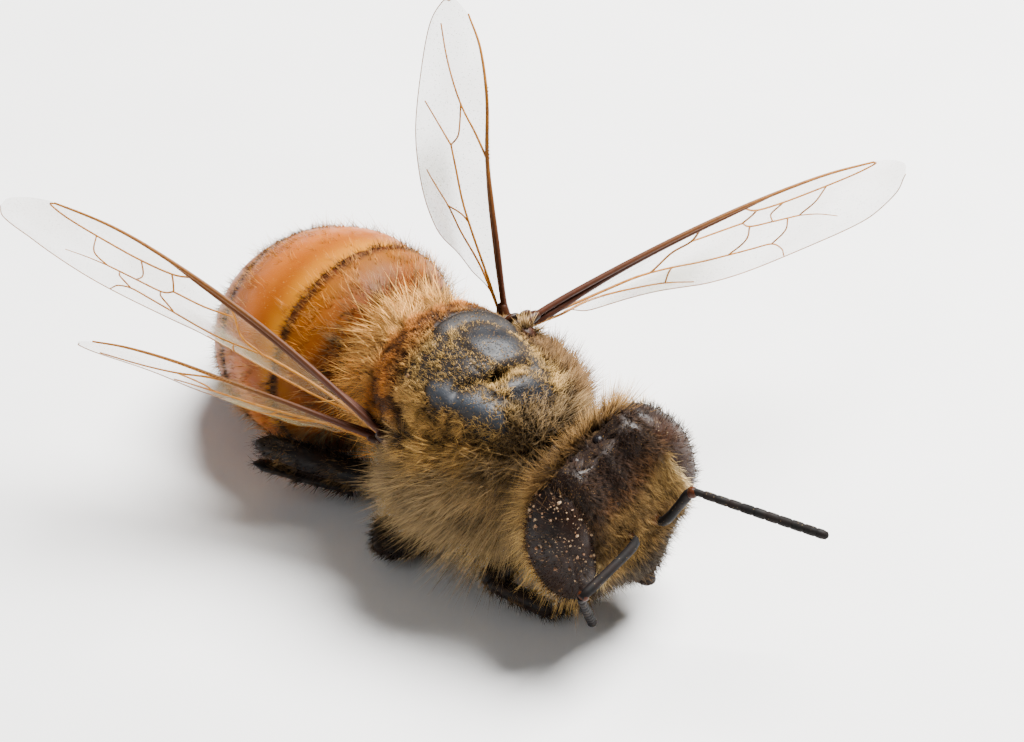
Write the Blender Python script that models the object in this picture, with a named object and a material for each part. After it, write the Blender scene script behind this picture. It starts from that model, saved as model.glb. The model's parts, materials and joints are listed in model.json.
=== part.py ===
"""Still, life-size model of a worker honey bee: head, thorax, curled abdomen, legs, wings and feelers.

The bee faces -Y, its left side is towards +X and +Z is up. It rests on the floor at z = 0 on flats under
its feet and the tip of its abdomen, with its body rolled so that the left side is higher.
"""

import math

import bmesh
import bpy
from mathutils import Matrix, Vector

MM = 0.001
COLLECTION_NAME = "honey_bee"

GAP = 0.04 * MM  # left between pieces that touch, a thin cut on an animal this small

# How the animal lies
BODY_HEIGHT = 3.35 * MM  # centre of the thorax above the floor
BODY_X = -2.654 * MM  # centre of the thorax from the middle of the model's outline
BODY_Y = -0.636 * MM
BODY_ROLL = math.radians(21.5)  # the left side is raised
BODY_PITCH = math.radians(3.4)  # the front is raised
HEAD_ROLL = math.radians(15.5)
HEAD_PITCH = math.radians(5.5)
HEAD_YAW = math.radians(4.0)  # the face turns a little to the animal's left
HEAD_OFFSET = Vector((0.45, -3.47, -0.69)) * MM  # centre of the head from that of the thorax

# Thorax, half sizes of the hard body and the depth of the coat on it
THORAX_HALF = Vector((1.85, 2.2, 1.95)) * MM
COAT_SHORT = 0.16 * MM  # on the back
COAT_LONG = 0.85 * MM  # on the flanks and behind the scutellum
COLLAR_Y = -1.5 * MM  # cuts that part the thorax
PROPODEUM_Y = 1.55 * MM
WAIST_Y = 2.6 * MM
NECK_Y = -2.34 * MM
BACK_Z = 0.75 * MM
SCUTELLUM_Y = 0.3 * MM

# Head
HEAD_HALF = Vector((1.95, 1.05, 1.85)) * MM
CROWN_Z = 1.6 * MM  # height of the flat crown
EYE_CUT_X = 1.22 * MM  # plane that parts an eye from the head, at mid height
EYE_CUT_LEAN = math.radians(9.0)  # the eyes come closer together towards the mouth
EYE_HALF = Vector((0.92, 0.98, 1.55)) * MM
OCELLUS_RADIUS = 0.17 * MM

# Abdomen: its spine is an arc that rises from the waist and curls down to the floor
ABDOMEN_LENGTH = 5.9 * MM
ABDOMEN_START = Vector((0.0, 2.62, -0.62)) * MM
ABDOMEN_RISE = math.radians(12.0)
ABDOMEN_TURN = math.radians(86.0)
ABDOMEN_HALF_WIDTH = 2.48 * MM
ABDOMEN_FLATNESS = 0.93
ABDOMEN_JOINTS = (0.0, 0.2, 0.47, 0.66, 0.81, 0.92, 1.0)  # shares of its length

# Limbs
FOREWING_LENGTH = 9.15 * MM
HINDWING_LENGTH = 6.5 * MM
WING_THICKNESS = 0.5 * MM
FEELER_RADIUS = 0.25 * MM
KNUCKLE = 0.16 * MM  # a leg's pieces run this far past their joint before they are parted

SHELL_BLACK = (0.012, 0.011, 0.012)
EYE_BLACK = (0.016, 0.012, 0.011)
FUR_BUFF = (0.42, 0.28, 0.12)
FUR_OLIVE = (0.20, 0.13, 0.05)
AMBER = (0.62, 0.24, 0.045)
BROWN_BAND = (0.11, 0.05, 0.02)
WING_TINT = (0.72, 0.66, 0.52)


def make_material(name, colour, roughness):
    material = bpy.data.materials.new(name)
    material.use_nodes = True
    shader = material.node_tree.nodes["Principled BSDF"]
    shader.inputs["Base Color"].default_value = (*colour, 1.0)
    shader.inputs["Roughness"].default_value = roughness
    shader.inputs["Metallic"].default_value = 0.0
    return material


def add_object(name, data, colour, roughness, parent=None, placement=None):
    piece = bpy.data.objects.new(name, data)
    data.materials.append(make_material(name, colour, roughness))
    bpy.data.collections[COLLECTION_NAME].objects.link(piece)
    piece.parent = parent
    piece.matrix_local = placement or Matrix.Identity(4)
    return piece


def mesh_from(name, bm, smooth_angle=35.0):
    """A mesh of the closed surface in bm, shaded smooth except across its sharp edges."""
    bmesh.ops.recalc_face_normals(bm, faces=bm.faces)
    mesh = bpy.data.meshes.new(name)
    bm.to_mesh(mesh)
    bm.free()
    mesh.shade_smooth()
    mesh.set_sharp_from_angle(angle=math.radians(smooth_angle))
    return mesh


def smooth_step(low, high, value):
    share = min(max((value - low) / (high - low), 0.0), 1.0)
    return share * share * (3.0 - 2.0 * share)


def cut_away(bm, point, normal):
    """Cuts off what lies on the side that normal points to, half a gap short of the plane, and caps it."""
    normal = Vector(normal).normalized()
    geometry = bm.verts[:] + bm.edges[:] + bm.faces[:]
    plane = Vector(point) - normal * GAP / 2
    bmesh.ops.bisect_plane(
        bm, geom=geometry, plane_co=plane, plane_no=normal, clear_outer=True, dist=GAP / 100
    )
    rim = [edge for edge in bm.edges if edge.is_boundary]
    bmesh.ops.holes_fill(bm, edges=rim)


def ball(half_sizes, across=24, along=14):
    """A ball with its poles along Y, stretched to the half sizes."""
    bm = bmesh.new()
    bmesh.ops.create_uvsphere(bm, u_segments=across, v_segments=along, radius=1.0)
    bmesh.ops.rotate(bm, verts=bm.verts, matrix=Matrix.Rotation(math.pi / 2, 3, "X"))
    bmesh.ops.scale(bm, verts=bm.verts, vec=half_sizes)
    return bm


def ring_frame(centre, forward, side, half_side, half_other):
    """Places a unit circle as an ellipse square to forward, with half_side along side."""
    forward = forward.normalized()
    side = (side - forward * side.dot(forward)).normalized()
    other = forward.cross(side)
    axes = Matrix((side * half_side, other * half_other, forward)).transposed().to_4x4()
    return Matrix.Translation(centre) @ axes


def skin_rings(frames, sides):
    """A closed surface drawn from ring to ring, capped at both ends."""
    bm = bmesh.new()
    first = bmesh.ops.create_circle(bm, segments=sides, radius=1.0, cap_ends=False)
    bmesh.ops.transform(bm, matrix=frames[0], verts=first["verts"])
    edges = bm.edges[:]
    bmesh.ops.contextual_create(bm, geom=edges)
    for before, after in zip(frames, frames[1:]):
        drawn = bmesh.ops.extrude_edge_only(bm, edges=edges)["geom"]
        edges = [item for item in drawn if isinstance(item, bmesh.types.BMEdge)]
        verts = [item for item in drawn if isinstance(item, bmesh.types.BMVert)]
        bmesh.ops.transform(bm, matrix=after @ before.inverted(), verts=verts)
    bmesh.ops.contextual_create(bm, geom=edges)
    return bm


def limb_piece(start, end, radius_start, radius_end, swell=0.0, side=Vector((0, 0, 1)), flat=1.0, sides=8):
    """A tapered tube with rounded ends. swell thickens its middle and flat is its thickness over its width."""
    run = end - start
    frames = []
    for share in (0.0, 0.07, 0.3, 0.55, 0.8, 0.94, 1.0):
        radius = radius_start + (radius_end - radius_start) * share
        radius *= 1.0 + swell * math.sin(math.pi * share)
        if share in (0.0, 1.0):
            radius *= 0.6
        frames.append(ring_frame(start + run * share, run, side, radius * flat, radius))
    return skin_rings(frames, sides)


# ---------------------------------------------------------------------------- thorax


def thorax_coat(direction):
    """Depth of the coat where the direction from the thorax's centre meets its surface."""
    flank = smooth_step(0.62, 0.05, direction.z) * smooth_step(-1.0, -0.7, direction.z)
    rear = smooth_step(0.45, 0.85, direction.y)
    front = 0.5 * smooth_step(0.5, 0.9, -direction.y)
    return COAT_SHORT + (COAT_LONG - COAT_SHORT) * max(flank, rear, front)


def whole_thorax():
    """The thorax and its coat in one piece, with the scutellum's swelling at the back's rear."""
    bm = ball(Vector((1, 1, 1)), across=28, along=16)
    for vert in bm.verts:
        direction = vert.co.normalized()
        surface = Vector(direction[i] * THORAX_HALF[i] for i in range(3))
        spread = (direction - Vector((0, 0.62, 0.78))).length
        swelling = 0.16 * MM * math.exp(-((spread / 0.35) ** 2))
        vert.co = surface + direction * (thorax_coat(direction) + swelling)
    return bm


def add_thorax(stance):
    front = (Vector((0, COLLAR_Y, 0)), Vector((0, -1, -0.15)))
    rear = (Vector((0, PROPODEUM_Y, 0)), Vector((0, 1, -0.1)))
    back = (Vector((0, 0, BACK_Z)), Vector((0, 0, 1)))
    scutellum = (Vector((0, SCUTELLUM_Y, BACK_Z)), Vector((0, 1, 0.35)))
    middle = (Vector((0, 0, 0)), Vector((1, 0, 0)))
    waist = (Vector((0, WAIST_Y, 0)), Vector((0, 1, 0)))
    neck = (Vector((0, NECK_Y, 0)), Vector((0, -1, 0)))
    # Each piece is cut from the whole by these planes: +1 cuts off the far side, -1 the near side.
    pieces = {
        "thorax_collar": (FUR_OLIVE, [(front, -1), (neck, 1)]),
        "thorax_scutum": (SHELL_BLACK, [(front, 1), (back, -1), (scutellum, 1)]),
        "thorax_scutellum": (FUR_BUFF, [(scutellum, -1), (back, -1), (rear, 1)]),
        "thorax_side_left": (FUR_BUFF, [(front, 1), (back, 1), (rear, 1), (middle, -1)]),
        "thorax_side_right": (FUR_BUFF, [(front, 1), (back, 1), (rear, 1), (middle, 1)]),
        "thorax_propodeum": (FUR_BUFF, [(rear, -1), (waist, 1)]),
    }
    for name, (colour, cuts) in pieces.items():
        bm = whole_thorax()
        for (point, normal), sign in cuts:
            cut_away(bm, point, normal * sign)
        add_object(name, mesh_from(name, bm), colour, 0.7, stance)


def add_tegulae(stance):
    """The scale over the root of each forewing."""
    for side, sign in (("left", 1), ("right", -1)):
        bm = ball(Vector((0.24, 0.34, 0.17)) * MM, across=12, along=8)
        placement = Matrix.Translation(Vector((1.98 * sign, 0.0, 1.3)) * MM)
        placement @= Matrix.Rotation(math.radians(40 * sign), 4, "Y")
        add_object(f"tegula_{side}", mesh_from(f"tegula_{side}", bm), FUR_BUFF, 0.5, stance, placement)


# ---------------------------------------------------------------------------- head


def eye_cut(sign):
    normal = Vector((math.cos(EYE_CUT_LEAN) * sign, 0.0, -math.sin(EYE_CUT_LEAN)))
    return Vector((EYE_CUT_X * sign, 0, 0)), normal


def add_head(head_pose):
    bm = ball(HEAD_HALF, across=28, along=16)
    for vert in bm.verts:
        drop = max(-vert.co.z / HEAD_HALF.z, 0.0)
        rise = max(vert.co.z / HEAD_HALF.z, 0.0)
        vert.co.x *= 1.0 - 0.25 * drop**1.5
        vert.co.y *= 1.0 - 0.12 * rise
        vert.co.z = min(vert.co.z, CROWN_Z + (vert.co.z - CROWN_Z) * 0.25)
        if vert.co.y > 0:
            vert.co.y *= 0.8  # the back of the head is flatter than the face
    for sign in (1, -1):
        cut_away(bm, *eye_cut(sign))
    add_object("head", mesh_from("head", bm), FUR_OLIVE, 0.7, head_pose)


def add_eyes(head_pose):
    for side, sign in (("left", 1), ("right", -1)):
        bm = ball(EYE_HALF, across=20, along=14)
        for vert in bm.verts:
            if vert.co.y > 0:
                vert.co.y *= 0.82
        centre = Vector((1.2 * sign, 0.02, 0.12)) * MM
        bmesh.ops.translate(bm, verts=bm.verts, vec=centre)
        point, normal = eye_cut(sign)
        cut_away(bm, point, -normal)
        add_object(f"eye_{side}", mesh_from(f"eye_{side}", bm), EYE_BLACK, 0.35, head_pose)


def add_ocelli(head_pose):
    """Three simple eyes on the crown, the middle one further forward."""
    places = {
        "ocellus_middle": Vector((0.0, -0.36, 1.62)) * MM,
        "ocellus_left": Vector((0.33, 0.02, 1.68)) * MM,
        "ocellus_right": Vector((-0.33, 0.02, 1.68)) * MM,
    }
    for name, centre in places.items():
        bm = ball(Vector((1, 1, 0.8)) * OCELLUS_RADIUS, across=10, along=6)
        bmesh.ops.translate(bm, verts=bm.verts, vec=centre + centre.normalized() * 0.06 * MM)
        cut_away(bm, centre, -centre)
        add_object(name, mesh_from(name, bm), SHELL_BLACK, 0.15, head_pose)


def add_mouthparts(head_pose):
    for side, sign in (("left", 1), ("right", -1)):
        root = Vector((0.5 * sign, -0.5, -1.74)) * MM
        tip = Vector((0.3 * sign, -0.62, -2.2)) * MM
        bm = limb_piece(root, tip, 0.26 * MM, 0.25 * MM, side=Vector((0, 1, 0)))
        name = f"mandible_{side}"
        add_object(name, mesh_from(name, bm), SHELL_BLACK, 0.4, head_pose)
    root = Vector((0.0, -0.22, -2.14)) * MM
    tip = Vector((0.0, 0.5, -2.16)) * MM
    bm = limb_piece(root, tip, 0.26 * MM, 0.25 * MM)
    add_object("proboscis", mesh_from("proboscis", bm), BROWN_BAND, 0.5, head_pose)


def add_feelers(head_pose):
    """Each feeler has a scape, up to its elbow, and a flagellum. Directions are in the head's own axes."""
    sockets = {"left": Vector((0.36, -1.16, -0.25)) * MM, "right": Vector((-0.5, -1.28, -0.1)) * MM}
    scapes = {"left": Vector((0.35, -0.72, 0.95)) * MM, "right": Vector((-1.7, 0.03, 0.1)) * MM}
    lashes = {"left": Vector((1.17, -2.19, -1.28)) * MM, "right": Vector((0.615, 0.861, -1.763)) * MM}
    for side in ("left", "right"):
        socket = sockets[side]
        elbow = socket + scapes[side]
        step = lashes[side].normalized() * (FEELER_RADIUS + GAP)
        bm = limb_piece(socket, elbow, FEELER_RADIUS, FEELER_RADIUS)
        name = f"antenna_{side}_scape"
        add_object(name, mesh_from(name, bm), SHELL_BLACK, 0.4, head_pose)
        bm = limb_piece(elbow + step * 1.1, elbow + step + lashes[side], FEELER_RADIUS, FEELER_RADIUS)
        name = f"antenna_{side}_flagellum"
        add_object(name, mesh_from(name, bm), SHELL_BLACK, 0.4, head_pose)


def add_neck(stance):
    """The short neck between the collar and the back of the head."""
    start = Vector((0, NECK_Y - GAP, -0.62 * MM))
    end = start - Vector((0, 0.19, 0.0)) * MM
    bm = limb_piece(start, end, 0.45 * MM, 0.45 * MM)
    add_object("neck", mesh_from("neck", bm), SHELL_BLACK, 0.5, stance)


# ---------------------------------------------------------------------------- abdomen


def abdomen_angle(share):
    """Slope of the abdomen's spine at a share of its length, from level."""
    return ABDOMEN_RISE - ABDOMEN_TURN * share


def abdomen_point(share):
    radius = ABDOMEN_LENGTH / ABDOMEN_TURN
    start, here = ABDOMEN_RISE, abdomen_angle(share)
    along = radius * (math.sin(start) - math.sin(here))
    upward = radius * (math.cos(here) - math.cos(start))
    return ABDOMEN_START + Vector((0, along, upward))


def abdomen_frame(share, spread=1.0):
    angle = abdomen_angle(share)
    fullness = math.sin(math.pi * min(max(share, 0.0), 0.995) ** 0.58) ** 0.45
    half_width = max(ABDOMEN_HALF_WIDTH * fullness, 0.3 * MM) * spread
    forward = Vector((0, math.cos(angle), math.sin(angle)))
    half_depth = half_width * ABDOMEN_FLATNESS
    return ring_frame(abdomen_point(share), forward, Vector((1, 0, 0)), half_width, half_depth)


def add_abdomen(stance):
    """Six segments. The rear edge of each stands a little proud, as it overlaps the next."""
    to_local = (stance_matrix()).inverted()
    floor_point = to_local @ Vector((0, 0, 0))
    floor_normal = to_local.to_3x3() @ Vector((0, 0, -1))
    last = len(ABDOMEN_JOINTS) - 1
    for number in range(1, last + 1):
        low, high = ABDOMEN_JOINTS[number - 1], ABDOMEN_JOINTS[number]
        margin = GAP / ABDOMEN_LENGTH
        steps = 4
        frames = []
        for step in range(steps + 1):
            share = low + margin + (high - low - 2 * margin) * step / steps
            spread = 0.97 + 0.03 * min(step / (steps - 1), 1.0)
            frames.append(abdomen_frame(share, spread))
        bm = skin_rings(frames, 28)
        cut_away(bm, floor_point + floor_normal * GAP / 2, floor_normal)
        if number == 1:
            cut_away(bm, Vector((0, WAIST_Y, 0)), Vector((0, -1, 0)))
        name = f"abdomen_{number}"
        colour = AMBER if number < 4 else BROWN_BAND
        add_object(name, mesh_from(name, bm), colour, 0.35, stance)


# ---------------------------------------------------------------------------- wings

# Outlines as shares of the wing's length: along the front vein, and from it towards the rear edge.
FOREWING_OUTLINE = (
    (0.08, -0.005), (0.4, -0.012), (0.72, 0.0), (0.9, 0.045), (0.985, 0.115),
    (1.0, 0.18), (0.975, 0.25), (0.88, 0.315), (0.72, 0.345), (0.55, 0.325),
    (0.36, 0.24), (0.19, 0.155), (0.08, 0.06),
)
HINDWING_OUTLINE = (
    (0.19, 0.0), (0.4, 0.008), (0.7, 0.012), (0.9, 0.06), (0.985, 0.12),
    (0.985, 0.18), (0.9, 0.23), (0.68, 0.272), (0.45, 0.28), (0.28, 0.225),
    (0.19, 0.15),
)
# Root from the centre of the thorax, then the directions along the front vein and towards the rear edge.
WINGS = {
    "forewing_left": (Vector((1.585, -0.011, 1.582)), Vector((0.950, -0.263, 0.170)), Vector((0.270, 0.413, -0.870))),
    "forewing_right": (Vector((-2.050, 0.570, -0.025)), Vector((-0.371, 0.791, 0.487)), Vector((0.313, 0.600, -0.736))),
    "hindwing_left": (Vector((1.66, 0.80, 1.03)), Vector((0.293, 0.371, 0.881)), Vector((-0.300, 0.911, -0.283))),
    "hindwing_right": (Vector((-1.990, 1.022, -0.698)), Vector((-0.558, 0.774, 0.300)), Vector((0.340, 0.543, -0.769))),
}


def wing_placement(name):
    root, along, across = WINGS[name]
    along = along.normalized()
    across = (across - along * across.dot(along)).normalized()
    axes = Matrix((along, across, along.cross(across))).transposed().to_4x4()
    return Matrix.Translation(thorax_centre() + root * MM) @ axes


def add_wings():
    for name in WINGS:
        fore = name.startswith("forewing")
        outline = FOREWING_OUTLINE if fore else HINDWING_OUTLINE
        length = FOREWING_LENGTH if fore else HINDWING_LENGTH
        curve = bpy.data.curves.new(name, "CURVE")
        curve.dimensions = "2D"
        curve.fill_mode = "BOTH"
        curve.extrude = WING_THICKNESS / 2
        curve.resolution_u = 4
        spline = curve.splines.new("BEZIER")
        spline.bezier_points.add(len(outline) - 1)
        for point, (along, across) in zip(spline.bezier_points, outline):
            point.co = Vector((along, across, 0)) * length
            point.handle_left_type = "AUTO"
            point.handle_right_type = "AUTO"
        spline.use_cyclic_u = True
        add_object(name, curve, WING_TINT, 0.3, None, wing_placement(name))


# ---------------------------------------------------------------------------- legs

# Joints of each leg in millimetres, from the point on the floor under the thorax's centre:
# hip, end of the hip piece, knee, heel and the end of the foot.
LEGS = {
    "fore_left": ((1.3, -1.5, 0.85), (1.75, -1.9, 0.75), (3.0, -2.5, 1.7), (3.2, -0.9, 0.3), (3.3, 0.2, 0.24)),
    "mid_left": ((1.3, 0.1, 0.85), (1.8, 0.35, 0.75), (3.1, 1.1, 1.5), (3.9, 2.2, 0.3), (4.0, 3.9, 0.24)),
    "hind_left": ((1.25, 1.3, 0.85), (1.65, 1.6, 0.8), (2.9, 3.2, 1.35), (3.3, 5.2, 0.42), (2.8, 7.1, 0.24)),
    "fore_right": ((0.1, -1.4, 0.7), (-0.3, -1.6, 0.62), (-1.6, -2.15, 1.02), (-0.7, -3.1, 0.3), (0.7, -3.0, 0.24)),
    "mid_right": ((0.1, -0.1, 0.62), (-0.35, 0.0, 0.475), (-2.15, 0.4, 0.58), (-1.2, 1.3, 0.32), (0.1, 0.7, 0.24)),
    "hind_right": ((0.1, 1.3, 0.62), (-0.4, 1.5, 0.6), (-2.65, 3.7, 1.8), (-0.9, 2.6, 0.42), (0.9, 2.7, 0.24)),
}
# A leg folded flat at the knee: its shin starts this far from the end of the thigh.
FOLD_SHIFT = {"hind_right": Vector((0.0, 0.1, -0.62)) * MM}
# Radii at the start and end of the hip piece, thigh, shin and foot, then the shin's and foot's thickness
# over their width.
LEG_RADII = {
    "fore": ((0.34, 0.28), (0.3, 0.27), (0.26, 0.3), (0.28, 0.25), 1.0),
    "mid": ((0.34, 0.28), (0.32, 0.27), (0.26, 0.34), (0.3, 0.25), 0.85),
    "hind": ((0.36, 0.28), (0.34, 0.3), (0.28, 0.5), (0.48, 0.25), 0.6),
}


def leg_joint_planes(leg, points):
    """The plane that parts each piece of a leg from the next: it halves the bend between them."""
    planes = []
    for index in (1, 2, 3):
        if index == 2 and leg in FOLD_SHIFT:
            planes.append((points[2] + FOLD_SHIFT[leg] / 2, FOLD_SHIFT[leg]))
            continue
        before = (points[index] - points[index - 1]).normalized()
        after = (points[index + 1] - points[index]).normalized()
        planes.append((points[index], before + after))
    return planes


def add_legs():
    under_thorax = Vector((BODY_X, BODY_Y, 0))
    for leg, joints in LEGS.items():
        points = [under_thorax + Vector(joint) * MM for joint in joints]
        planes = leg_joint_planes(leg, points)
        radii = LEG_RADII[leg.split("_")[0]]
        flatness = (1.0, 1.0, radii[4], radii[4])
        for index, part in enumerate(("coxa", "femur", "tibia", "tarsus")):
            start, end = points[index], points[index + 1]
            if part == "tibia":
                start = start + FOLD_SHIFT.get(leg, Vector())
            along = (end - start).normalized() * KNUCKLE
            before = along * (index > 0)
            after = end - start + along * (index < 3)
            near, far = (radius * MM for radius in radii[index])
            bm = limb_piece(-before, after, near, far, swell=0.12, side=Vector((1, 0, 0)), flat=flatness[index])
            if index > 0:
                cut_away(bm, planes[index - 1][0] - start, -planes[index - 1][1])
            if index < 3:
                cut_away(bm, planes[index][0] - start, planes[index][1])
            cut_away(bm, Vector((0, 0, -start.z - GAP / 2)), Vector((0, 0, -1)))  # flat on the floor
            name = f"leg_{leg}_{part}"
            placement = Matrix.Translation(start)
            add_object(name, mesh_from(name, bm), SHELL_BLACK, 0.45, None, placement)


# ---------------------------------------------------------------------------- whole


def thorax_centre():
    return Vector((BODY_X, BODY_Y, BODY_HEIGHT))


def stance_matrix():
    turn = Matrix.Rotation(-BODY_ROLL, 4, "Y") @ Matrix.Rotation(-BODY_PITCH, 4, "X")
    return Matrix.Translation(thorax_centre()) @ turn


def head_matrix():
    turn = Matrix.Rotation(HEAD_YAW, 4, "Z") @ Matrix.Rotation(-HEAD_ROLL, 4, "Y")
    turn @= Matrix.Rotation(-HEAD_PITCH, 4, "X")
    return Matrix.Translation(thorax_centre() + HEAD_OFFSET) @ turn


def add_empty(name, placement):
    empty = bpy.data.objects.new(name, None)
    bpy.data.collections[COLLECTION_NAME].objects.link(empty)
    empty.matrix_world = placement
    return empty


def main():
    for leftover in list(bpy.data.objects):
        bpy.data.objects.remove(leftover)
    bpy.context.scene.collection.children.link(bpy.data.collections.new(COLLECTION_NAME))
    stance = add_empty("stance", stance_matrix())
    head_pose = add_empty("head_pose", head_matrix())
    add_thorax(stance)
    add_tegulae(stance)
    add_neck(stance)
    add_head(head_pose)
    add_eyes(head_pose)
    add_ocelli(head_pose)
    add_mouthparts(head_pose)
    add_feelers(head_pose)
    add_abdomen(stance)
    add_wings()
    add_legs()
    bpy.context.view_layer.update()


main()
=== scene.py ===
"""Looks of a still, life-size worker honey bee: skin, plates, eyes, wings, limbs and a coat of hairs.

The bee faces -Y with its left side towards +X, and rests on the floor at z = 0. Lengths are in metres.
On the thorax and the head the skin takes its ground colour from the function that colours the hair, so
that their markings agree.
"""

import json
import math

import bmesh
import bpy
import numpy as np
from mathutils import Matrix, Vector

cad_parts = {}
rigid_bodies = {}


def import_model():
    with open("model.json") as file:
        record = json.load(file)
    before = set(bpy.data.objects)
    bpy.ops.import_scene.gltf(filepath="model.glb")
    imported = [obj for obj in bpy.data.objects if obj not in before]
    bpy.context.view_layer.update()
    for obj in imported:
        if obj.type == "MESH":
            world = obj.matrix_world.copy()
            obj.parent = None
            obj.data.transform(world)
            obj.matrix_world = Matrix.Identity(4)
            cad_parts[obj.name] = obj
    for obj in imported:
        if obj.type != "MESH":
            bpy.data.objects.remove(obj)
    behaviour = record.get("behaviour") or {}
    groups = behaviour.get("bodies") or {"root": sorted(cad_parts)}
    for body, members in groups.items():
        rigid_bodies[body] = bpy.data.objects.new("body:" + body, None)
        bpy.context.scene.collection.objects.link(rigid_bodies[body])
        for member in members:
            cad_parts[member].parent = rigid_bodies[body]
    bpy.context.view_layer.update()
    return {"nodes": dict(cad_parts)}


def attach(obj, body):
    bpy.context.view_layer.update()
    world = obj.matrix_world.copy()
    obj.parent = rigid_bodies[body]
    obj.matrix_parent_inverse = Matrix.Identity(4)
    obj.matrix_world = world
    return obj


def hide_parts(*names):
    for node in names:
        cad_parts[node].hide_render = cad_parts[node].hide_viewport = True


bl_info = {
    "name": "Worker honey bee",
    "version": (1, 0, 0),
    "blender": (4, 5, 0),
    "location": "View3D > Sidebar > Honey Bee",
    "description": "Builds the skin, plates, wings, limbs and fur of a life-size honey bee",
    "category": "Add Mesh",
}

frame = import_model()

MM = 0.001

# ---------------------------------------------------------------------------- stance, as in the solids

BODY_HEIGHT = 3.35 * MM
BODY_X = -2.654 * MM
BODY_Y = -0.636 * MM
BODY_ROLL = math.radians(21.5)
BODY_PITCH = math.radians(3.4)
HEAD_ROLL = math.radians(15.5)
HEAD_PITCH = math.radians(5.5)
HEAD_YAW = math.radians(4.0)
HEAD_OFFSET = Vector((0.45, -3.47, -0.69)) * MM
THORAX_CENTRE = Vector((BODY_X, BODY_Y, BODY_HEIGHT))

THORAX_HALF = np.array((1.85, 2.2, 1.95)) * MM
COAT_SHORT = 0.16 * MM
COAT_LONG = 0.85 * MM
HEAD_HALF = np.array((1.95, 1.05, 1.85)) * MM
CROWN_Z = 1.6 * MM
FACE_COAT = 0.12 * MM  # depth of the hair on the head
EYE_HALF = np.array((0.64, 0.96, 1.46)) * MM
EYE_PLACE = np.array((1.47, 0.02, 0.19)) * MM
EYE_LEAN = 0.30 * MM  # how far the eye's top leans towards the crown
EYE_REAR = 0.5  # depth of the eye's rear half against its front half

ABDOMEN_LENGTH = 5.9 * MM
ABDOMEN_START = Vector((0.0, 2.62, -0.62)) * MM
ABDOMEN_RISE = math.radians(12.0)
ABDOMEN_TURN = math.radians(86.0)
ABDOMEN_HALF_WIDTH = 2.48 * MM
ABDOMEN_FLATNESS = 0.93
ABDOMEN_JOINTS = (0.0, 0.2, 0.47, 0.66, 0.81, 0.92, 1.0)

FOREWING_LENGTH = 9.15 * MM
HINDWING_LENGTH = 6.5 * MM

HAIR_REST = 0.014 * MM  # least height of a hair's centre line above the floor
PLATE_REST = 0.002 * MM  # least height of an abdomen plate above the floor


def turned(axis, angle):
    return Matrix.Rotation(angle, 4, axis)


STANCE = Matrix.Translation(THORAX_CENTRE) @ turned("Y", -BODY_ROLL) @ turned("X", -BODY_PITCH)
HEAD_POSE = (
    Matrix.Translation(THORAX_CENTRE + HEAD_OFFSET)
    @ turned("Z", HEAD_YAW)
    @ turned("Y", -HEAD_ROLL)
    @ turned("X", -HEAD_PITCH)
)
STILL = Matrix.Identity(4)

# ---------------------------------------------------------------------------- colours

SLATE = (0.009, 0.010, 0.013)
BROWN_BLACK = (0.014, 0.005, 0.0022)
UNDERFUR = (0.012, 0.0065, 0.0025)
# Hair colours, each at the root and at the tip; the dark roots are partly painted shade deep in the coat and
# the bright tips partly a painted glow of backlit hair.
GOLD = ((0.055, 0.026, 0.007), (0.44, 0.235, 0.062))
OLIVE = ((0.016, 0.009, 0.003), (0.56, 0.32, 0.090))
# Buff hair, darkened low on the thorax and at the abdomen's front: partly its own colour, partly painted
# shade.
SHADED_BUFF = ((0.012, 0.007, 0.003), (0.27, 0.18, 0.080))
RUST = ((0.070, 0.018, 0.003), (0.46, 0.170, 0.030))
TAN = ((0.032, 0.018, 0.006), (0.32, 0.185, 0.060))
GREY = ((0.012, 0.009, 0.007), (0.085, 0.062, 0.038))
DARK = ((0.006, 0.004, 0.003), (0.035, 0.018, 0.009))
AMBER_HAIR = ((0.24, 0.066, 0.005), (0.68, 0.31, 0.062))
CREAM = ((0.12, 0.050, 0.011), (0.48, 0.23, 0.062))
STUBBLE = ((0.10, 0.055, 0.015), (0.50, 0.31, 0.095))
REAR_FRINGE = ((0.20, 0.096, 0.022), (0.88, 0.45, 0.118))
SHOULDER = ((0.012, 0.006, 0.0025), (0.13, 0.068, 0.022))
COLLAR = ((0.012, 0.007, 0.0025), (0.19, 0.115, 0.042))
HONEY = ((0.14, 0.082, 0.022), (0.50, 0.31, 0.095))
NEAR_EYE = ((0.20, 0.12, 0.04), (0.66, 0.44, 0.17))
EYE_MARGIN = ((0.40, 0.28, 0.13), (0.95, 0.72, 0.38))
BROW = ((0.026, 0.011, 0.004), (0.17, 0.078, 0.027))
DARK_BROW = ((0.006, 0.003, 0.0015), (0.045, 0.019, 0.008))
EYE_SHADE = ((0.007, 0.004, 0.002), (0.060, 0.028, 0.011))
NAPE = ((0.018, 0.009, 0.003), (0.28, 0.15, 0.042))
NAPE_RIM = ((0.11, 0.062, 0.019), (0.68, 0.43, 0.15))
COMB = ((0.008, 0.004, 0.002), (0.075, 0.030, 0.010))
EYE_HAIR = ((0.012, 0.006, 0.003), (0.13, 0.070, 0.030))
SCALE_HAIR = ((0.05, 0.026, 0.008), (0.48, 0.30, 0.12))


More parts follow.
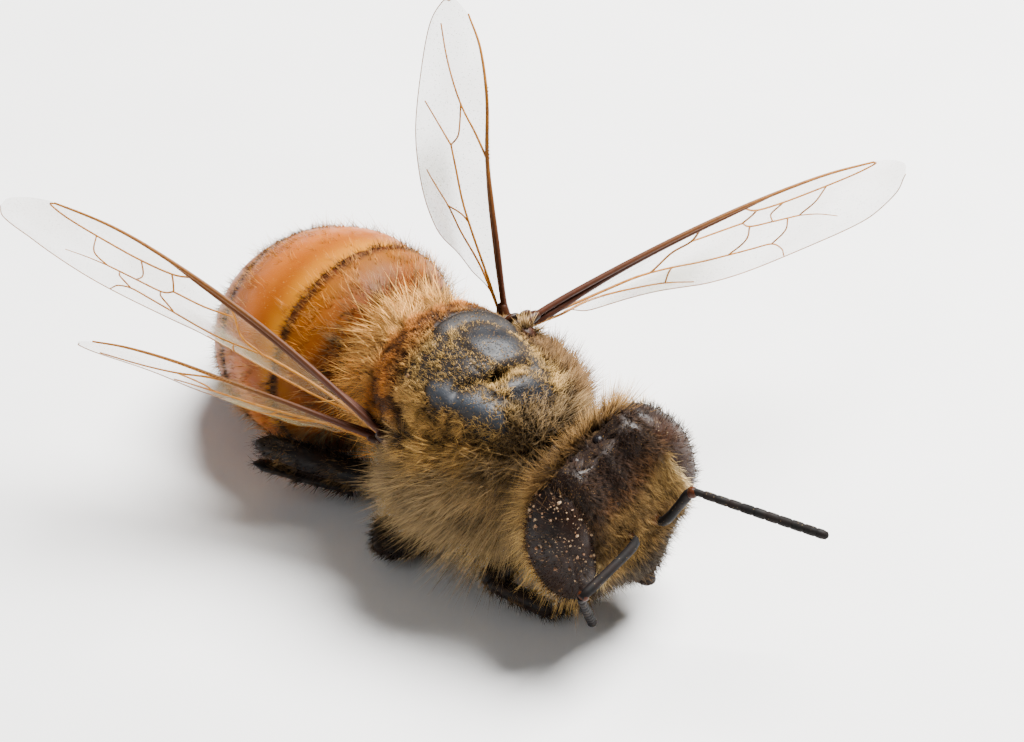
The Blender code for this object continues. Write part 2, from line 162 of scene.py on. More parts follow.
class BeeColours(bpy.types.PropertyGroup):
    """Colours a user would change."""

    amber: bpy.props.FloatVectorProperty(
        name="Amber", description="Front plates of the abdomen", subtype="COLOR",
        default=(0.26, 0.066, 0.0008),
    )
    yellow: bpy.props.FloatVectorProperty(
        name="Yellow", description="Bright strip of a plate", subtype="COLOR", default=(0.43, 0.162, 0.002)
    )
    red: bpy.props.FloatVectorProperty(
        name="Red", description="Middle of a plate", subtype="COLOR", default=(0.38, 0.098, 0.006)
    )
    membrane: bpy.props.FloatVectorProperty(
        name="Membrane", description="Tint of the wings", subtype="COLOR", default=(0.38, 0.26, 0.11)
    )
    vein_dark: bpy.props.FloatVectorProperty(
        name="Dark vein", description="Front veins near the root", subtype="COLOR",
        default=(0.050, 0.013, 0.004),
    )
    vein_gold: bpy.props.FloatVectorProperty(
        name="Golden vein", description="Thin veins", subtype="COLOR", default=(0.48, 0.185, 0.020)
    )


class BeeCoat(bpy.types.PropertyGroup):
    """Amount and thickness of the fur."""

    flank_tufts: bpy.props.IntProperty(
        name="Flank tufts", description="Tufts of long hair on each part of the thorax", default=1500, min=100
    )
    back_tufts: bpy.props.IntProperty(
        name="Back tufts", description="Tufts of short hair round the back", default=3700, min=100
    )
    stubble_tufts: bpy.props.IntProperty(
        name="Stubble tufts", description="Tufts of stubble on the bare back", default=2700, min=100
    )
    head_tufts: bpy.props.IntProperty(
        name="Head tufts", description="Tufts of short hair on the head", default=3900, min=100
    )
    abdomen_tufts: bpy.props.IntProperty(
        name="Abdomen tufts", description="Tufts on the abdomen", default=9000, min=100
    )
    strand_width: bpy.props.FloatProperty(
        name="Hair width", description="Thickness of one long hair at its root",
        subtype="DISTANCE", unit="LENGTH", default=0.018 * MM, min=0.002 * MM,
    )


# ---------------------------------------------------------------------------- numbers and frames


def soft(low, high, value):
    """Rises smoothly from 0 at low to 1 at high, or falls if low is the larger."""
    share = np.clip((value - low) / (high - low), 0.0, 1.0)
    return share * share * (3.0 - 2.0 * share)


def bump_at(value, middle, width):
    return np.exp(-(((value - middle) / width) ** 2))


def ripple(places, size, seed):
    """A smooth unevenness over places, about -1 to 1, with bumps of about the given size."""
    rng = np.random.default_rng(seed)
    waves = unit(rng.normal(0, 1, (9, 3))) * 2 * np.pi / (3.2 * size)
    waves *= rng.uniform(0.7, 1.6, (9, 1))
    return np.sin(places @ waves.T + rng.uniform(0, 2 * np.pi, 9)).sum(1) / 3.2


def unit(vectors):
    return vectors / np.maximum(np.linalg.norm(vectors, axis=-1, keepdims=True), 1e-12)


def to_world(points, pose):
    pose = np.array(pose)
    return points @ pose[:3, :3].T + pose[:3, 3]


def to_local(points, pose):
    pose = np.array(pose)
    return (points - pose[:3, 3]) @ pose[:3, :3]


def blend_colours(first, second, share):
    """Mixes root and tip colours, given as pairs, by a share for each point."""
    first = np.broadcast_to(np.array(first, float), (len(share), 2, 3))
    second = np.broadcast_to(np.array(second, float), (len(share), 2, 3))
    return first + (second - first) * share[:, None, None]


def layer_colours(colour, *layers):
    """Lays pairs of root and tip colours over one another, each with its share for each point."""
    for pair, share in layers:
        colour = blend_colours(colour, pair, share)
    return colour


# ---------------------------------------------------------------------------- meshes


def add_piece(name, mesh, material, slot, *replaced):
    """Links a finished mesh as a piece that rides on the body and stands for the nodes replaced."""
    piece = bpy.data.objects.new(name, mesh)
    bpy.context.scene.collection.objects.link(piece)
    mesh.materials.clear()
    mesh.materials.append(material)
    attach(piece, "root")
    if replaced:
        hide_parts(*replaced)
    return piece


def mesh_from(name, bm, smooth_angle=60.0):
    bmesh.ops.recalc_face_normals(bm, faces=bm.faces)
    mesh = bpy.data.meshes.new(name)
    bm.to_mesh(mesh)
    bm.free()
    mesh.shade_smooth()
    mesh.set_sharp_from_angle(angle=math.radians(smooth_angle))
    return mesh


def vertex_array(mesh):
    places = np.empty(len(mesh.vertices) * 3, np.float32)
    mesh.vertices.foreach_get("co", places)
    return places.reshape(-1, 3).astype(float)


def set_vertices(mesh, places):
    mesh.vertices.foreach_set("co", places.astype(np.float32).ravel())
    mesh.update()


def paint(mesh, colours, mask=None):
    """Stores a colour for each vertex as marking, with a mask in its alpha."""
    values = np.ones((len(mesh.vertices), 4), np.float32)
    values[:, :3] = colours
    if mask is not None:
        values[:, 3] = mask
    layers = mesh.color_attributes
    layer = layers.get("marking") or layers.new("marking", "FLOAT_COLOR", "POINT")
    layer.data.foreach_set("color", values.ravel())


def ball_mesh(name, shape, pose, fineness):
    """A ball whose surface shape gives for each unit direction, placed by pose."""
    bm = bmesh.new()
    bmesh.ops.create_icosphere(bm, subdivisions=fineness, radius=1.0)
    mesh = mesh_from(name, bm, 180.0)
    set_vertices(mesh, to_world(shape(unit(vertex_array(mesh))), pose))
    return mesh


def ring_frame(centre, forward, side, half_side, half_other):
    """Places a unit circle as an ellipse square to forward, with half_side along side."""
    forward = forward.normalized()
    side = (side - forward * side.dot(forward)).normalized()
    other = forward.cross(side)
    axes = Matrix((side * half_side, other * half_other, forward)).transposed().to_4x4()
    return Matrix.Translation(centre) @ axes


def skin_rings(frames, sides):
    """A closed surface drawn from ring to ring, capped at both ends."""
    bm = bmesh.new()
    first = bmesh.ops.create_circle(bm, segments=sides, radius=1.0, cap_ends=False)
    bmesh.ops.transform(bm, matrix=frames[0], verts=first["verts"])
    edges = bm.edges[:]
    bmesh.ops.contextual_create(bm, geom=edges)
    for before, after in zip(frames, frames[1:]):
        drawn = bmesh.ops.extrude_edge_only(bm, edges=edges)["geom"]
        edges = [item for item in drawn if isinstance(item, bmesh.types.BMEdge)]
        verts = [item for item in drawn if isinstance(item, bmesh.types.BMVert)]
        bmesh.ops.transform(bm, matrix=after @ before.inverted(), verts=verts)
    bmesh.ops.contextual_create(bm, geom=edges)
    return bm


def add_shape(name, bm, material, slot, *replaced, smooth_angle=180.0):
    return add_piece(name, mesh_from(name, bm, smooth_angle), material, slot, *replaced)


def tube_along(points, radii, sides=12, side=Vector((0, 0, 1)), flat=1.0):
    """A closed tube through points, with a radius at each."""
    frames = []
    for index, point in enumerate(points):
        before = points[max(index - 1, 0)]
        after = points[min(index + 1, len(points) - 1)]
        frames.append(ring_frame(point, after - before, side, radii[index] * flat, radii[index]))
    return skin_rings(frames, sides)


def join_parts(parts):
    """One bmesh from several, which are freed."""
    whole = bmesh.new()
    for part in parts:
        carrier = bpy.data.meshes.new("carrier")
        part.to_mesh(carrier)
        part.free()
        whole.from_mesh(carrier)
        bpy.data.meshes.remove(carrier)
    return whole


def smooth_path(points, count):
    """Count points on a smooth curve through the given ones."""
    points = np.array([tuple(point) for point in points], float)
    ends = np.vstack([2 * points[0] - points[1], points, 2 * points[-1] - points[-2]])
    found = []
    for step in range(count):
        at = step / (count - 1) * (len(points) - 1)
        index = min(int(at), len(points) - 2)
        t = at - index
        a, b, c, d = ends[index : index + 4]
        place = 2 * b + (c - a) * t + (2 * a - 5 * b + 4 * c - d) * t**2 + (3 * b - a - 3 * c + d) * t**3
        found.append(Vector(0.5 * place))
    return found


# ---------------------------------------------------------------------------- hairs


def surface_roots(mesh, pose, count, density, rng):
    """Places and normals spread over a mesh by density, all in the pose's own axes."""
    mesh.calc_loop_triangles()
    corners = np.empty(len(mesh.loop_triangles) * 3, np.int32)
    mesh.loop_triangles.foreach_get("vertices", corners)
    corners = corners.reshape(-1, 3)
    places = to_local(vertex_array(mesh), pose)
    normals = np.empty(len(mesh.vertices) * 3, np.float32)
    mesh.vertices.foreach_get("normal", normals)
    normals = normals.reshape(-1, 3) @ np.array(pose)[:3, :3]
    triangle = places[corners]
    across = np.cross(triangle[:, 1] - triangle[:, 0], triangle[:, 2] - triangle[:, 0])
    weight = np.linalg.norm(across, axis=1) * density(triangle.mean(1), unit(across))
    chosen = rng.choice(len(corners), count, p=weight / weight.sum())
    first, second = np.sqrt(rng.random(count)), rng.random(count)
    shares = np.stack([1 - first, first * (1 - second), first * second], 1)[:, :, None]
    roots = (triangle[chosen] * shares).sum(1)
    return roots, unit((normals[corners[chosen]] * shares).sum(1))


def tuft_paths(roots, normals, style, rng, reaches, points):
    """Centre lines of the hairs of each tuft, as an array of (tufts, strands, points, 3).

    reaches scales each hair's length.
    """
    count, strands = reaches.shape
    lie = style["lie"]
    lie = unit(lie - normals * (lie * normals).sum(1, keepdims=True))
    other = np.cross(normals, lie)
    lift = style["lift"][:, None]
    growth = unit(normals * np.sin(lift) + lie * np.cos(lift) + rng.normal(0, 0.24, (count, 3)))
    angle = rng.random((count, strands)) * 2 * np.pi
    distance = np.sqrt(rng.random((count, strands))) * style["spread"][:, None]
    offset = (
        lie[:, None] * (np.cos(angle) * distance)[..., None]
        + other[:, None] * (np.sin(angle) * distance)[..., None]
    )
    own = unit(growth[:, None] + rng.normal(0, 1, (count, strands, 3)) * style["stray"][:, None, None])
    length = style["length"][:, None] * reaches
    curl = rng.normal(0, 0.12, (count, strands, 3)) + lie[:, None] * style["bend"][:, None, None]
    t = np.linspace(0, 1, points)[None, None, :, None]
    start = roots[:, None, None] + offset[:, :, None] * (1 - style["gather"][:, None, None, None] * t)
    reach = length[..., None, None]
    paths = start + own[:, :, None] * reach * t + curl[:, :, None] * reach * t * t
    return paths - normals[:, None, None] * 0.02 * MM * (1 - t)


def hair_mesh(name, paths, radius, colours, tones, spots, pose):
    """One mesh of closed, tapering, three-sided hairs.

    colours holds a root and a tip colour for each tuft, and tones a brightness for each hair.
    """
    tufts, strands, points, _ = paths.shape
    count = tufts * strands
    places = to_world(paths.reshape(-1, 3), pose)
    places[:, 2] = np.maximum(places[:, 2], HAIR_REST)  # hair that meets the floor lies on it
    paths = to_local(places, pose).reshape(count, points, 3)
    radius = np.broadcast_to(radius.reshape(tufts, -1), (tufts, strands)).reshape(count)
    run = unit(paths[:, -1] - paths[:, 0])
    side = unit(np.cross(run, np.where(np.abs(run[:, 2:]) < 0.8, (0.0, 0.0, 1.0), (1.0, 0.0, 0.0))))
    other = np.cross(run, side)
    rings = points - 1
    corner = np.arange(3) * 2 * np.pi / 3
    circle = side[:, None] * np.cos(corner)[:, None] + other[:, None] * np.sin(corner)[:, None]
    taper = 1.0 - 0.75 * (np.arange(rings) / rings) ** 1.3
    width = radius[:, None, None, None] * taper[None, :, None, None]
    body = paths[:, :rings, None] + circle[:, None] * width
    verts = np.concatenate([body.reshape(count, rings * 3, 3), paths[:, -1:]], 1)
    per = rings * 3 + 1
    faces = [(2, 1, 0)]
    for ring in range(rings - 1):
        for k in range(3):
            a, b = ring * 3 + k, ring * 3 + (k + 1) % 3
            faces += [(a, b, b + 3), (a, b + 3, a + 3)]
    top = (rings - 1) * 3
    faces += [(top + k, top + (k + 1) % 3, top + 3) for k in range(3)]
    faces = np.array(faces)
    corners = (faces[None] + (np.arange(count) * per)[:, None, None]).reshape(-1, 3)

    mesh = bpy.data.meshes.new(name)
    mesh.vertices.add(count * per)
    mesh.vertices.foreach_set("co", to_world(verts.reshape(-1, 3), pose).astype(np.float32).ravel())
    mesh.loops.add(corners.size)
    mesh.loops.foreach_set("vertex_index", corners.astype(np.int32).ravel())
    mesh.polygons.add(len(corners))
    mesh.polygons.foreach_set("loop_start", np.arange(0, corners.size, 3, dtype=np.int32))
    mesh.polygons.foreach_set("use_smooth", np.ones(len(corners), bool))
    mesh.update(calc_edges=True)

    height = np.append(np.repeat(np.arange(rings), 3), rings) / rings
    pair = np.repeat(colours, strands, axis=0) * tones.reshape(count, 1, 1)
    # The root colour is held longer up each hair, so the lower part of the coat is dark: painted shade deep
    # in the coat.
    shades = pair[:, 0][:, None] + (pair[:, 1] - pair[:, 0])[:, None] * (height**1.4)[None, :, None]
    paint(mesh, shades.reshape(-1, 3))
    patch = 0.003
    spot = np.repeat(spots, strands, axis=0) * (1 - 2 * patch) + patch
    lane = np.tile((np.arange(strands) + 0.5) / strands - 0.5, tufts)
    turn = np.append(np.tile((np.arange(3) - 1) / (3.0 * strands), rings), 0.0)
    u = spot[:, :1] + patch * (lane[:, None] + turn[None])
    v = spot[:, 1:] + patch * (height[None] - 0.5)
    where = np.stack([u, v], -1).reshape(-1, 2)[corners.ravel()]
    layer = mesh.uv_layers.new(name="OFBake")
    layer.uv.foreach_set("vector", where.astype(np.float32).ravel())
    return mesh


def even_style(lie, colour, lift, length, spread, gather, stray, bend, radius):
    """The style of a coat that is the same all over: lift in degrees, and lengths in millimetres."""
    count = len(lie)
    return {
        "lie": lie,
        "lift": np.full(count, math.radians(lift)),
        "length": np.full(count, length * MM),
        "spread": np.full(count, spread * MM),
        "gather": np.full(count, float(gather)),
        "stray": np.full(count, stray),
        "bend": np.full(count, bend),
        "radius": np.full(count, radius * MM),
        "colour": np.broadcast_to(np.array(colour), (count, 2, 3)),
    }


def evenly(places, normals):
    """Density of tufts that stand evenly all over."""
    return np.ones(len(places))


def joined_form(name, pieces):
    """One mesh from the meshes of several pieces, to grow a coat on."""
    whole = bmesh.new()
    for piece in pieces:
        whole.from_mesh(piece.data)
    form = bpy.data.meshes.new(name)
    whole.to_mesh(form)
    whole.free()
    return form


def round_unwrap(places, half):
    """Unwraps a body round its long axis, Y: the turn about it and the place along it."""
    turn = np.arctan2(places[:, 0], places[:, 2]) / (2 * np.pi) + 0.5
    along = np.clip(places[:, 1] / (2.3 * half) + 0.5, 0.0, 1.0)
    return np.stack([turn, along], 1)


def grow_coat(name, source, pose, count, seed, density, style_at, half, strands, points, slot="fur_buff"):
    """Grows a coat piece on a mesh. style_at gives each tuft's lengths, lie and colours."""
    rng = np.random.default_rng(seed)
    roots, normals = surface_roots(source, pose, count, density, rng)
    style = style_at(roots, normals)
    style["length"] = style["length"] * rng.uniform(0.66, 1.14, count)
    shade = rng.uniform(0.42, 1.5, (count, 1, 1))
    reaches = rng.uniform(0.5, 1.2, (count, strands))
    # Shorter hairs, which end inside the coat, are darker: painted shade.
    tones = 0.3 + 0.8 * reaches
    paths = tuft_paths(roots, normals, style, rng, reaches, points)
    spots = round_unwrap(roots, half)
    mesh = hair_mesh(name, paths, style["radius"], style["colour"] * shade, tones, spots, pose)
    return add_piece(name, mesh, fur_material(), slot)


# ---------------------------------------------------------------------------- materials


class Tree:
    """Adds nodes to one node tree and joins them."""

    def __init__(self, tree):
        self.tree = tree

    def node(self, kind, inputs=None, **settings):
        made = self.tree.nodes.new(kind)
        for key, value in settings.items():
            setattr(made, key, value)
        for key, value in (inputs or {}).items():
            if isinstance(value, bpy.types.NodeSocket):
                self.tree.links.new(value, made.inputs[key])
            else:
                made.inputs[key].default_value = value
        return made

    def group(self, tree, inputs):
        return self.node("ShaderNodeGroup", inputs, node_tree=tree).outputs

    def maths(self, operation, first, second=0.0, clamp=False):
        inputs = {0: first, 1: second}
        return self.node("ShaderNodeMath", inputs, operation=operation, use_clamp=clamp).outputs[0]

    def mix(self, share, first, second, blend="MIX"):
        inputs = {0: share, 6: first, 7: second}
        inputs = {key: (*value, 1.0) if isinstance(value, tuple) else value for key, value in inputs.items()}
        return self.node("ShaderNodeMix", inputs, data_type="RGBA", blend_type=blend).outputs[2]

    def marking(self):
        return self.node("ShaderNodeAttribute", attribute_name="marking").outputs

    def cells(self, place, size):
        """Distance to the middle of the nearest of many cells of the given size."""
        inputs = {"Vector": place, "Scale": 1.0 / size}
        return self.node("ShaderNodeTexVoronoi", inputs).outputs["Distance"]

    def pits(self, place, size):
        return self.group(pitted_cuticle_group(), {"Vector": place, "Pit Size": size})

    def dust(self, place, size, amount):
        return self.group(dust_group(), {"Vector": place, "Speck Size": size, "Amount": amount})["Mask"]

    def spread(self, value, low, high, to_low=0.0, to_high=1.0):
        inputs = {"Value": value, "From Min": low, "From Max": high, "To Min": to_low, "To Max": to_high}
        return self.node("ShaderNodeMapRange", inputs, interpolation_type="SMOOTHSTEP").outputs["Result"]

    def noise(self, place, size, detail=3.0):
        inputs = {"Vector": place, "Scale": 1.0 / size, "Detail": detail}
        return self.node("ShaderNodeTexNoise", inputs).outputs["Fac"]

    def bump(self, height, distance, strength=1.0, normal=None):
        inputs = {"Height": height, "Distance": distance, "Strength": strength}
        if normal is not None:
            inputs["Normal"] = normal
        return self.node("ShaderNodeBump", inputs).outputs["Normal"]

    def place(self):
        return self.node("ShaderNodeTexCoord").outputs["Object"]


def new_group(name, inputs, outputs):
    """An empty node group with named sockets, with its tree and its two end nodes."""
    group = bpy.data.node_groups.new(name, "ShaderNodeTree")
    for label, kind, value in inputs:
        socket = group.interface.new_socket(label, in_out="INPUT", socket_type=kind)
        if value is not None:
            socket.default_value = value
    for label, kind in outputs:
        group.interface.new_socket(label, in_out="OUTPUT", socket_type=kind)
    tree = Tree(group)
    return group, tree, tree.node("NodeGroupInput").outputs, tree.node("NodeGroupOutput")


def pitted_cuticle_group():
    """Fine pits and a broad unevenness of hard cuticle, as a height."""
    if "pitted cuticle" in bpy.data.node_groups:
        return bpy.data.node_groups["pitted cuticle"]
    group, tree, given, out = new_group(
        "pitted cuticle",
        [("Vector", "NodeSocketVector", None), ("Pit Size", "NodeSocketFloat", 0.04 * MM)],
        [("Height", "NodeSocketFloat"), ("Wear", "NodeSocketFloat")],
    )
    scale = tree.maths("DIVIDE", 1.0, given["Pit Size"])
    cells = tree.node("ShaderNodeTexVoronoi", {"Vector": given["Vector"], "Scale": scale}).outputs["Distance"]
    pits = tree.spread(cells, 0.0, 0.45)
    broad_scale = tree.maths("MULTIPLY", scale, 0.12)
    broad = tree.node(
        "ShaderNodeTexNoise", {"Vector": given["Vector"], "Scale": broad_scale, "Detail": 4.0}
    ).outputs["Fac"]
    height = tree.maths("ADD", tree.maths("MULTIPLY", pits, 0.6), tree.maths("MULTIPLY", broad, 1.6))
    tree.tree.links.new(height, out.inputs["Height"])
    tree.tree.links.new(broad, out.inputs["Wear"])
    return group


def dust_group():
    """A mask of fine pale specks that gather in patches."""
    if "dust specks" in bpy.data.node_groups:
        return bpy.data.node_groups["dust specks"]
    group, tree, given, out = new_group(
        "dust specks",
        [
            ("Vector", "NodeSocketVector", None),
            ("Speck Size", "NodeSocketFloat", 0.05 * MM),
            ("Amount", "NodeSocketFloat", 0.3),
        ],
        [("Mask", "NodeSocketFloat")],
    )
    scale = tree.maths("DIVIDE", 1.0, given["Speck Size"])
    cells = tree.node("ShaderNodeTexVoronoi", {"Vector": given["Vector"], "Scale": scale}, feature="F1")
    speck = tree.spread(cells.outputs["Distance"], 0.34, 0.18)
    patch_scale = tree.maths("MULTIPLY", scale, 0.1)
    patches = tree.node(
        "ShaderNodeTexNoise", {"Vector": given["Vector"], "Scale": patch_scale, "Detail": 3.0}
    ).outputs["Fac"]
    chance = tree.node("ShaderNodeSeparateColor", {0: cells.outputs["Color"]}).outputs[0]
    limit = tree.maths("MULTIPLY", given["Amount"], tree.spread(patches, 0.35, 0.65))
    kept = tree.maths("LESS_THAN", chance, limit)
    tree.tree.links.new(tree.maths("MULTIPLY", speck, kept), out.inputs["Mask"])
    return group


def start_material(name, roughness=0.5):
    """A new material with its tree and its Principled shader."""
    material = bpy.data.materials.new(name)
    material.use_nodes = True
    shader = material.node_tree.nodes["Principled BSDF"]
    shader.inputs["Roughness"].default_value = roughness
    return material, Tree(material.node_tree), shader


def built(name):
    return bpy.data.materials.get(name)


def join_sockets(tree, shader, **sockets):
    for label, value in sockets.items():
        tree.tree.links.new(value, shader.inputs[label.replace("_", " ")])


def fur_material():
    if built("fur"):
        return built("fur")
    material, tree, shader = start_material("fur", 0.55)
    marking = tree.marking()["Color"]
    tone = tree.spread(tree.noise(tree.place(), 0.25 * MM), 0.3, 0.7, 0.72, 1.18)
    grey = tree.node("ShaderNodeCombineColor", {0: tone, 1: tone, 2: tone}).outputs[0]
    join_sockets(tree, shader, Base_Color=tree.mix(1.0, marking, grey, "MULTIPLY"))
    shader.inputs["Specular IOR Level"].default_value = 0.15
    return material


def skin_material():
    """Hard black cuticle where it is bare and a dull brown ground where fur grows."""
    if built("skin"):
        return built("skin")
    material, tree, shader = start_material("skin", 0.5)
    place = tree.place()
    marking = tree.marking()
    pits = tree.pits(place, 0.045 * MM)
    dust = tree.dust(place, 0.05 * MM, 0.45)
    fine = tree.dust(place, 0.022 * MM, 0.5)
    worn = tree.mix(tree.spread(pits["Wear"], 0.4, 0.75, 0.0, 0.3), marking["Color"], (0.018, 0.013, 0.010))
    specked = tree.mix(tree.maths("MULTIPLY", dust, 0.7), worn, (0.20, 0.105, 0.03))
    specked = tree.mix(tree.maths("MULTIPLY", fine, 0.6), specked, (0.26, 0.16, 0.06))
    bare_rough = tree.spread(tree.noise(place, 0.3 * MM), 0.35, 0.7, 0.34, 0.50)
    rough = tree.node("ShaderNodeMix", {0: marking["Alpha"], 2: 0.66, 3: bare_rough}).outputs[0]
    rough = tree.maths("ADD", rough, tree.maths("MULTIPLY", dust, 0.4), clamp=True)
    relief = tree.maths("ADD", pits["Height"], tree.maths("MULTIPLY", dust, 1.5))
    normal = tree.bump(relief, 0.012 * MM, 0.7)
    join_sockets(tree, shader, Base_Color=specked, Roughness=rough, Normal=normal)
    shader.inputs["Specular IOR Level"].default_value = 0.2
    return material


def cuticle_material(name, colour, second, roughness=0.38):
    """Dark hard cuticle of limbs and small plates."""
    if built(name):
        return built(name)
    material, tree, shader = start_material(name, roughness)
    place = tree.place()
    pits = tree.pits(place, 0.03 * MM)
    dust = tree.dust(place, 0.04 * MM, 0.22)
    base = tree.mix(tree.spread(tree.noise(place, 0.35 * MM), 0.35, 0.7), colour, second)
    base = tree.mix(tree.maths("MULTIPLY", dust, 0.6), base, (0.20, 0.14, 0.07))
    rough = tree.spread(pits["Wear"], 0.3, 0.7, roughness - 0.08, roughness + 0.14)
    normal = tree.bump(pits["Height"], 0.008 * MM, 0.6)
    join_sockets(tree, shader, Base_Color=base, Roughness=rough, Normal=normal)
    shader.inputs["Specular IOR Level"].default_value = 0.14
    return material


def black_cuticle():
    return cuticle_material("leg cuticle", (0.008, 0.007, 0.007), (0.015, 0.008, 0.005), 0.45)


def red_cuticle():
    return cuticle_material("claw", (0.055, 0.014, 0.004), (0.02, 0.008, 0.005), 0.3)


def plate_material():
    """Amber plates of the abdomen: the marking carries their bands, a fine net of scales their relief."""
    if built("abdomen plate"):
        return built("abdomen plate")
    material, tree, shader = start_material("abdomen plate", 0.3)
    place = tree.place()
    marking = tree.marking()
    cloud = tree.spread(tree.noise(place, 0.5 * MM, 4.0), 0.3, 0.7)
    base = tree.mix(tree.maths("MULTIPLY", cloud, 0.25), marking["Color"], (0.26, 0.05, 0.003))
    speckle = tree.dust(place, 0.05 * MM, 0.2)
    base = tree.mix(tree.maths("MULTIPLY", speckle, 0.5), base, (0.55, 0.28, 0.07))
    pits = tree.pits(place, 0.035 * MM)
    rough = tree.spread(pits["Wear"], 0.3, 0.75, 0.38, 0.60)
    normal = tree.bump(pits["Height"], 0.010 * MM, 0.6)
    join_sockets(tree, shader, Base_Color=base, Roughness=rough, Normal=normal)
    shader.inputs["Specular IOR Level"].default_value = 0.12
    shader.inputs["Subsurface Weight"].default_value = 0.2
    shader.inputs["Subsurface Radius"].default_value = (1.0, 0.45, 0.2)
    shader.inputs["Subsurface Scale"].default_value = 0.25 * MM
    return material


def eye_material():
    """Compound eye: a field of small facets, with pale specks of dust."""
    if built("compound eye"):
        return built("compound eye")
    material, tree, shader = start_material("compound eye", 0.3)
    place = tree.place()
    marking = tree.marking()
    facets = tree.spread(tree.cells(place, 0.036 * MM), 0.5, 0.05)
    dust = tree.dust(place, 0.045 * MM, 0.3)
    cloud = tree.spread(tree.noise(place, 0.4 * MM), 0.35, 0.7, 0.0, 0.5)
    base = tree.mix(cloud, marking["Color"], (0.022, 0.008, 0.004))
    base = tree.mix(tree.maths("MULTIPLY", dust, 0.75), base, (0.26, 0.18, 0.10))
    rough = tree.spread(tree.noise(place, 0.18 * MM), 0.35, 0.7, 0.34, 0.56)
    normal = tree.bump(facets, 0.006 * MM, 0.8)
    join_sockets(tree, shader, Base_Color=base, Roughness=rough, Normal=normal)
    shader.inputs["Specular IOR Level"].default_value = 0.14
    return material


def membrane_material():
    """Thin clear wing film with fine dots, a warm tint and a painted sheen of colours near its rear."""
    if built("wing membrane"):
        return built("wing membrane")
    colours = bpy.context.scene.bee_colours
    material, tree, shader = start_material("wing membrane", 0.22)
    place = tree.place()
    marking = tree.marking()
    dots = tree.spread(tree.cells(place, 0.07 * MM), 0.22, 0.1)
    # The ramp paints a sheen of colours into the film, strongest where the marking's alpha is high: a painted
    # reflection.
    film = tree.noise(place, 0.9 * MM, 2.0)
    sheen = tree.node("ShaderNodeValToRGB", {0: film})
    stops = sheen.color_ramp.elements
    stops[0].position, stops[0].color = 0.3, (0.75, 0.55, 0.30, 1)
    stops[1].position, stops[1].color = 0.72, (0.72, 0.45, 0.55, 1)
    for at, tint in ((0.42, (0.55, 0.62, 0.35, 1)), (0.55, (0.82, 0.75, 0.55, 1))):
        stops.new(at).color = tint
    tint = tuple(colours.membrane)
    base = tree.mix(tree.maths("MULTIPLY", marking["Alpha"], 0.6), tint, sheen.outputs["Color"])
    base = tree.mix(tree.maths("MULTIPLY", dots, 0.8), base, (0.16, 0.10, 0.05))
    clear = tree.spread(tree.noise(place, 1.6 * MM, 2.0), 0.3, 0.7, 0.09, 0.17)
    clear = tree.maths("ADD", clear, tree.maths("MULTIPLY", dots, 0.3))
    clear = tree.maths("ADD", clear, tree.maths("MULTIPLY", marking["Alpha"], 0.25), clamp=True)
    wrinkles = tree.maths("ADD", tree.noise(place, 0.35 * MM, 4.0), tree.maths("MULTIPLY", dots, 0.3))
    normal = tree.bump(wrinkles, 0.03 * MM, 0.7)
    join_sockets(tree, shader, Base_Color=base, Alpha=clear, Normal=normal)
    return material


def vein_material():
    """Wing veins: nearly black near the root, golden brown further out, by their marking."""
    if built("wing vein"):
        return built("wing vein")
    material, tree, shader = start_material("wing vein", 0.5)
    place = tree.place()
    marking = tree.marking()["Color"]
    cloud = tree.spread(tree.noise(place, 0.12 * MM), 0.35, 0.7, 0.0, 0.4)
    base = tree.mix(cloud, marking, (0.08, 0.02, 0.006))
    normal = tree.bump(tree.noise(place, 0.05 * MM), 0.01 * MM, 0.5)
    join_sockets(tree, shader, Base_Color=base, Normal=normal)
    shader.inputs["Specular IOR Level"].default_value = 0.2
    return material


def grain_material():
    if built("dust grain"):
        return built("dust grain")
    material, tree, shader = start_material("dust grain", 0.8)
    shade = tree.noise(tree.place(), 0.12 * MM, 2.0)
    base = tree.mix(tree.spread(shade, 0.35, 0.65), (0.42, 0.29, 0.17), (0.20, 0.095, 0.045))
    join_sockets(tree, shader, Base_Color=base)
    return material


# ---------------------------------------------------------------------------- thorax


def thorax_reach(e):
    """Depth of the thorax's coat along unit directions e, as in the solids."""
    flank = soft(0.62, 0.05, e[:, 2]) * soft(-1.0, -0.7, e[:, 2])
    rear = soft(0.45, 0.85, e[:, 1])
    front = 0.5 * soft(0.5, 0.9, -e[:, 1])
    return COAT_SHORT + (COAT_LONG - COAT_SHORT) * np.maximum(np.maximum(flank, rear), front)


def above(e):
    return soft(0.05, 0.25, e[:, 2])


def plate_rim(e):
    """1 on the seam round the large back plate (the scutum), less inside it, more outside."""
    return (np.abs(e[:, 0] / 0.74) ** 4 + np.abs((e[:, 1] + 0.45) / 0.64) ** 4) ** 0.25


def groove_line(x):
    """Y of the sunken groove across the back, as a share of the half length."""
    return -0.40 - 0.19 * soft(-0.33, 0.2, x)


def groove_mask(e):
    across = bump_at(e[:, 1], groove_line(e[:, 0]), 0.06) * above(e)
    return across * soft(-0.46, -0.3, e[:, 0]) * soft(0.66, 0.5, e[:, 0])


def ridge_mask(e):
    """The smooth bare ridge that runs along the right of the back."""
    middle = -0.42 + 0.21 * soft(-0.2, -0.85, e[:, 1])
    ends = soft(-0.95, -0.75, e[:, 1]) * soft(-0.06, -0.22, e[:, 1])
    return bump_at(e[:, 0], middle, 0.125) * ends * above(e)


def seam_mask(e):
    """The polished black lip on the seam behind the large back plate."""
    rear = soft(-0.35, -0.05, e[:, 1]) * soft(-0.02, 0.22, e[:, 0])
    return bump_at(plate_rim(e), 1.02, 0.11) * rear * above(e)


def oval(e, x, y, half_x, half_y):
    return soft(1.25, 0.75, np.hypot((e[:, 0] - x) / half_x, (e[:, 1] - y) / half_y)) * above(e)


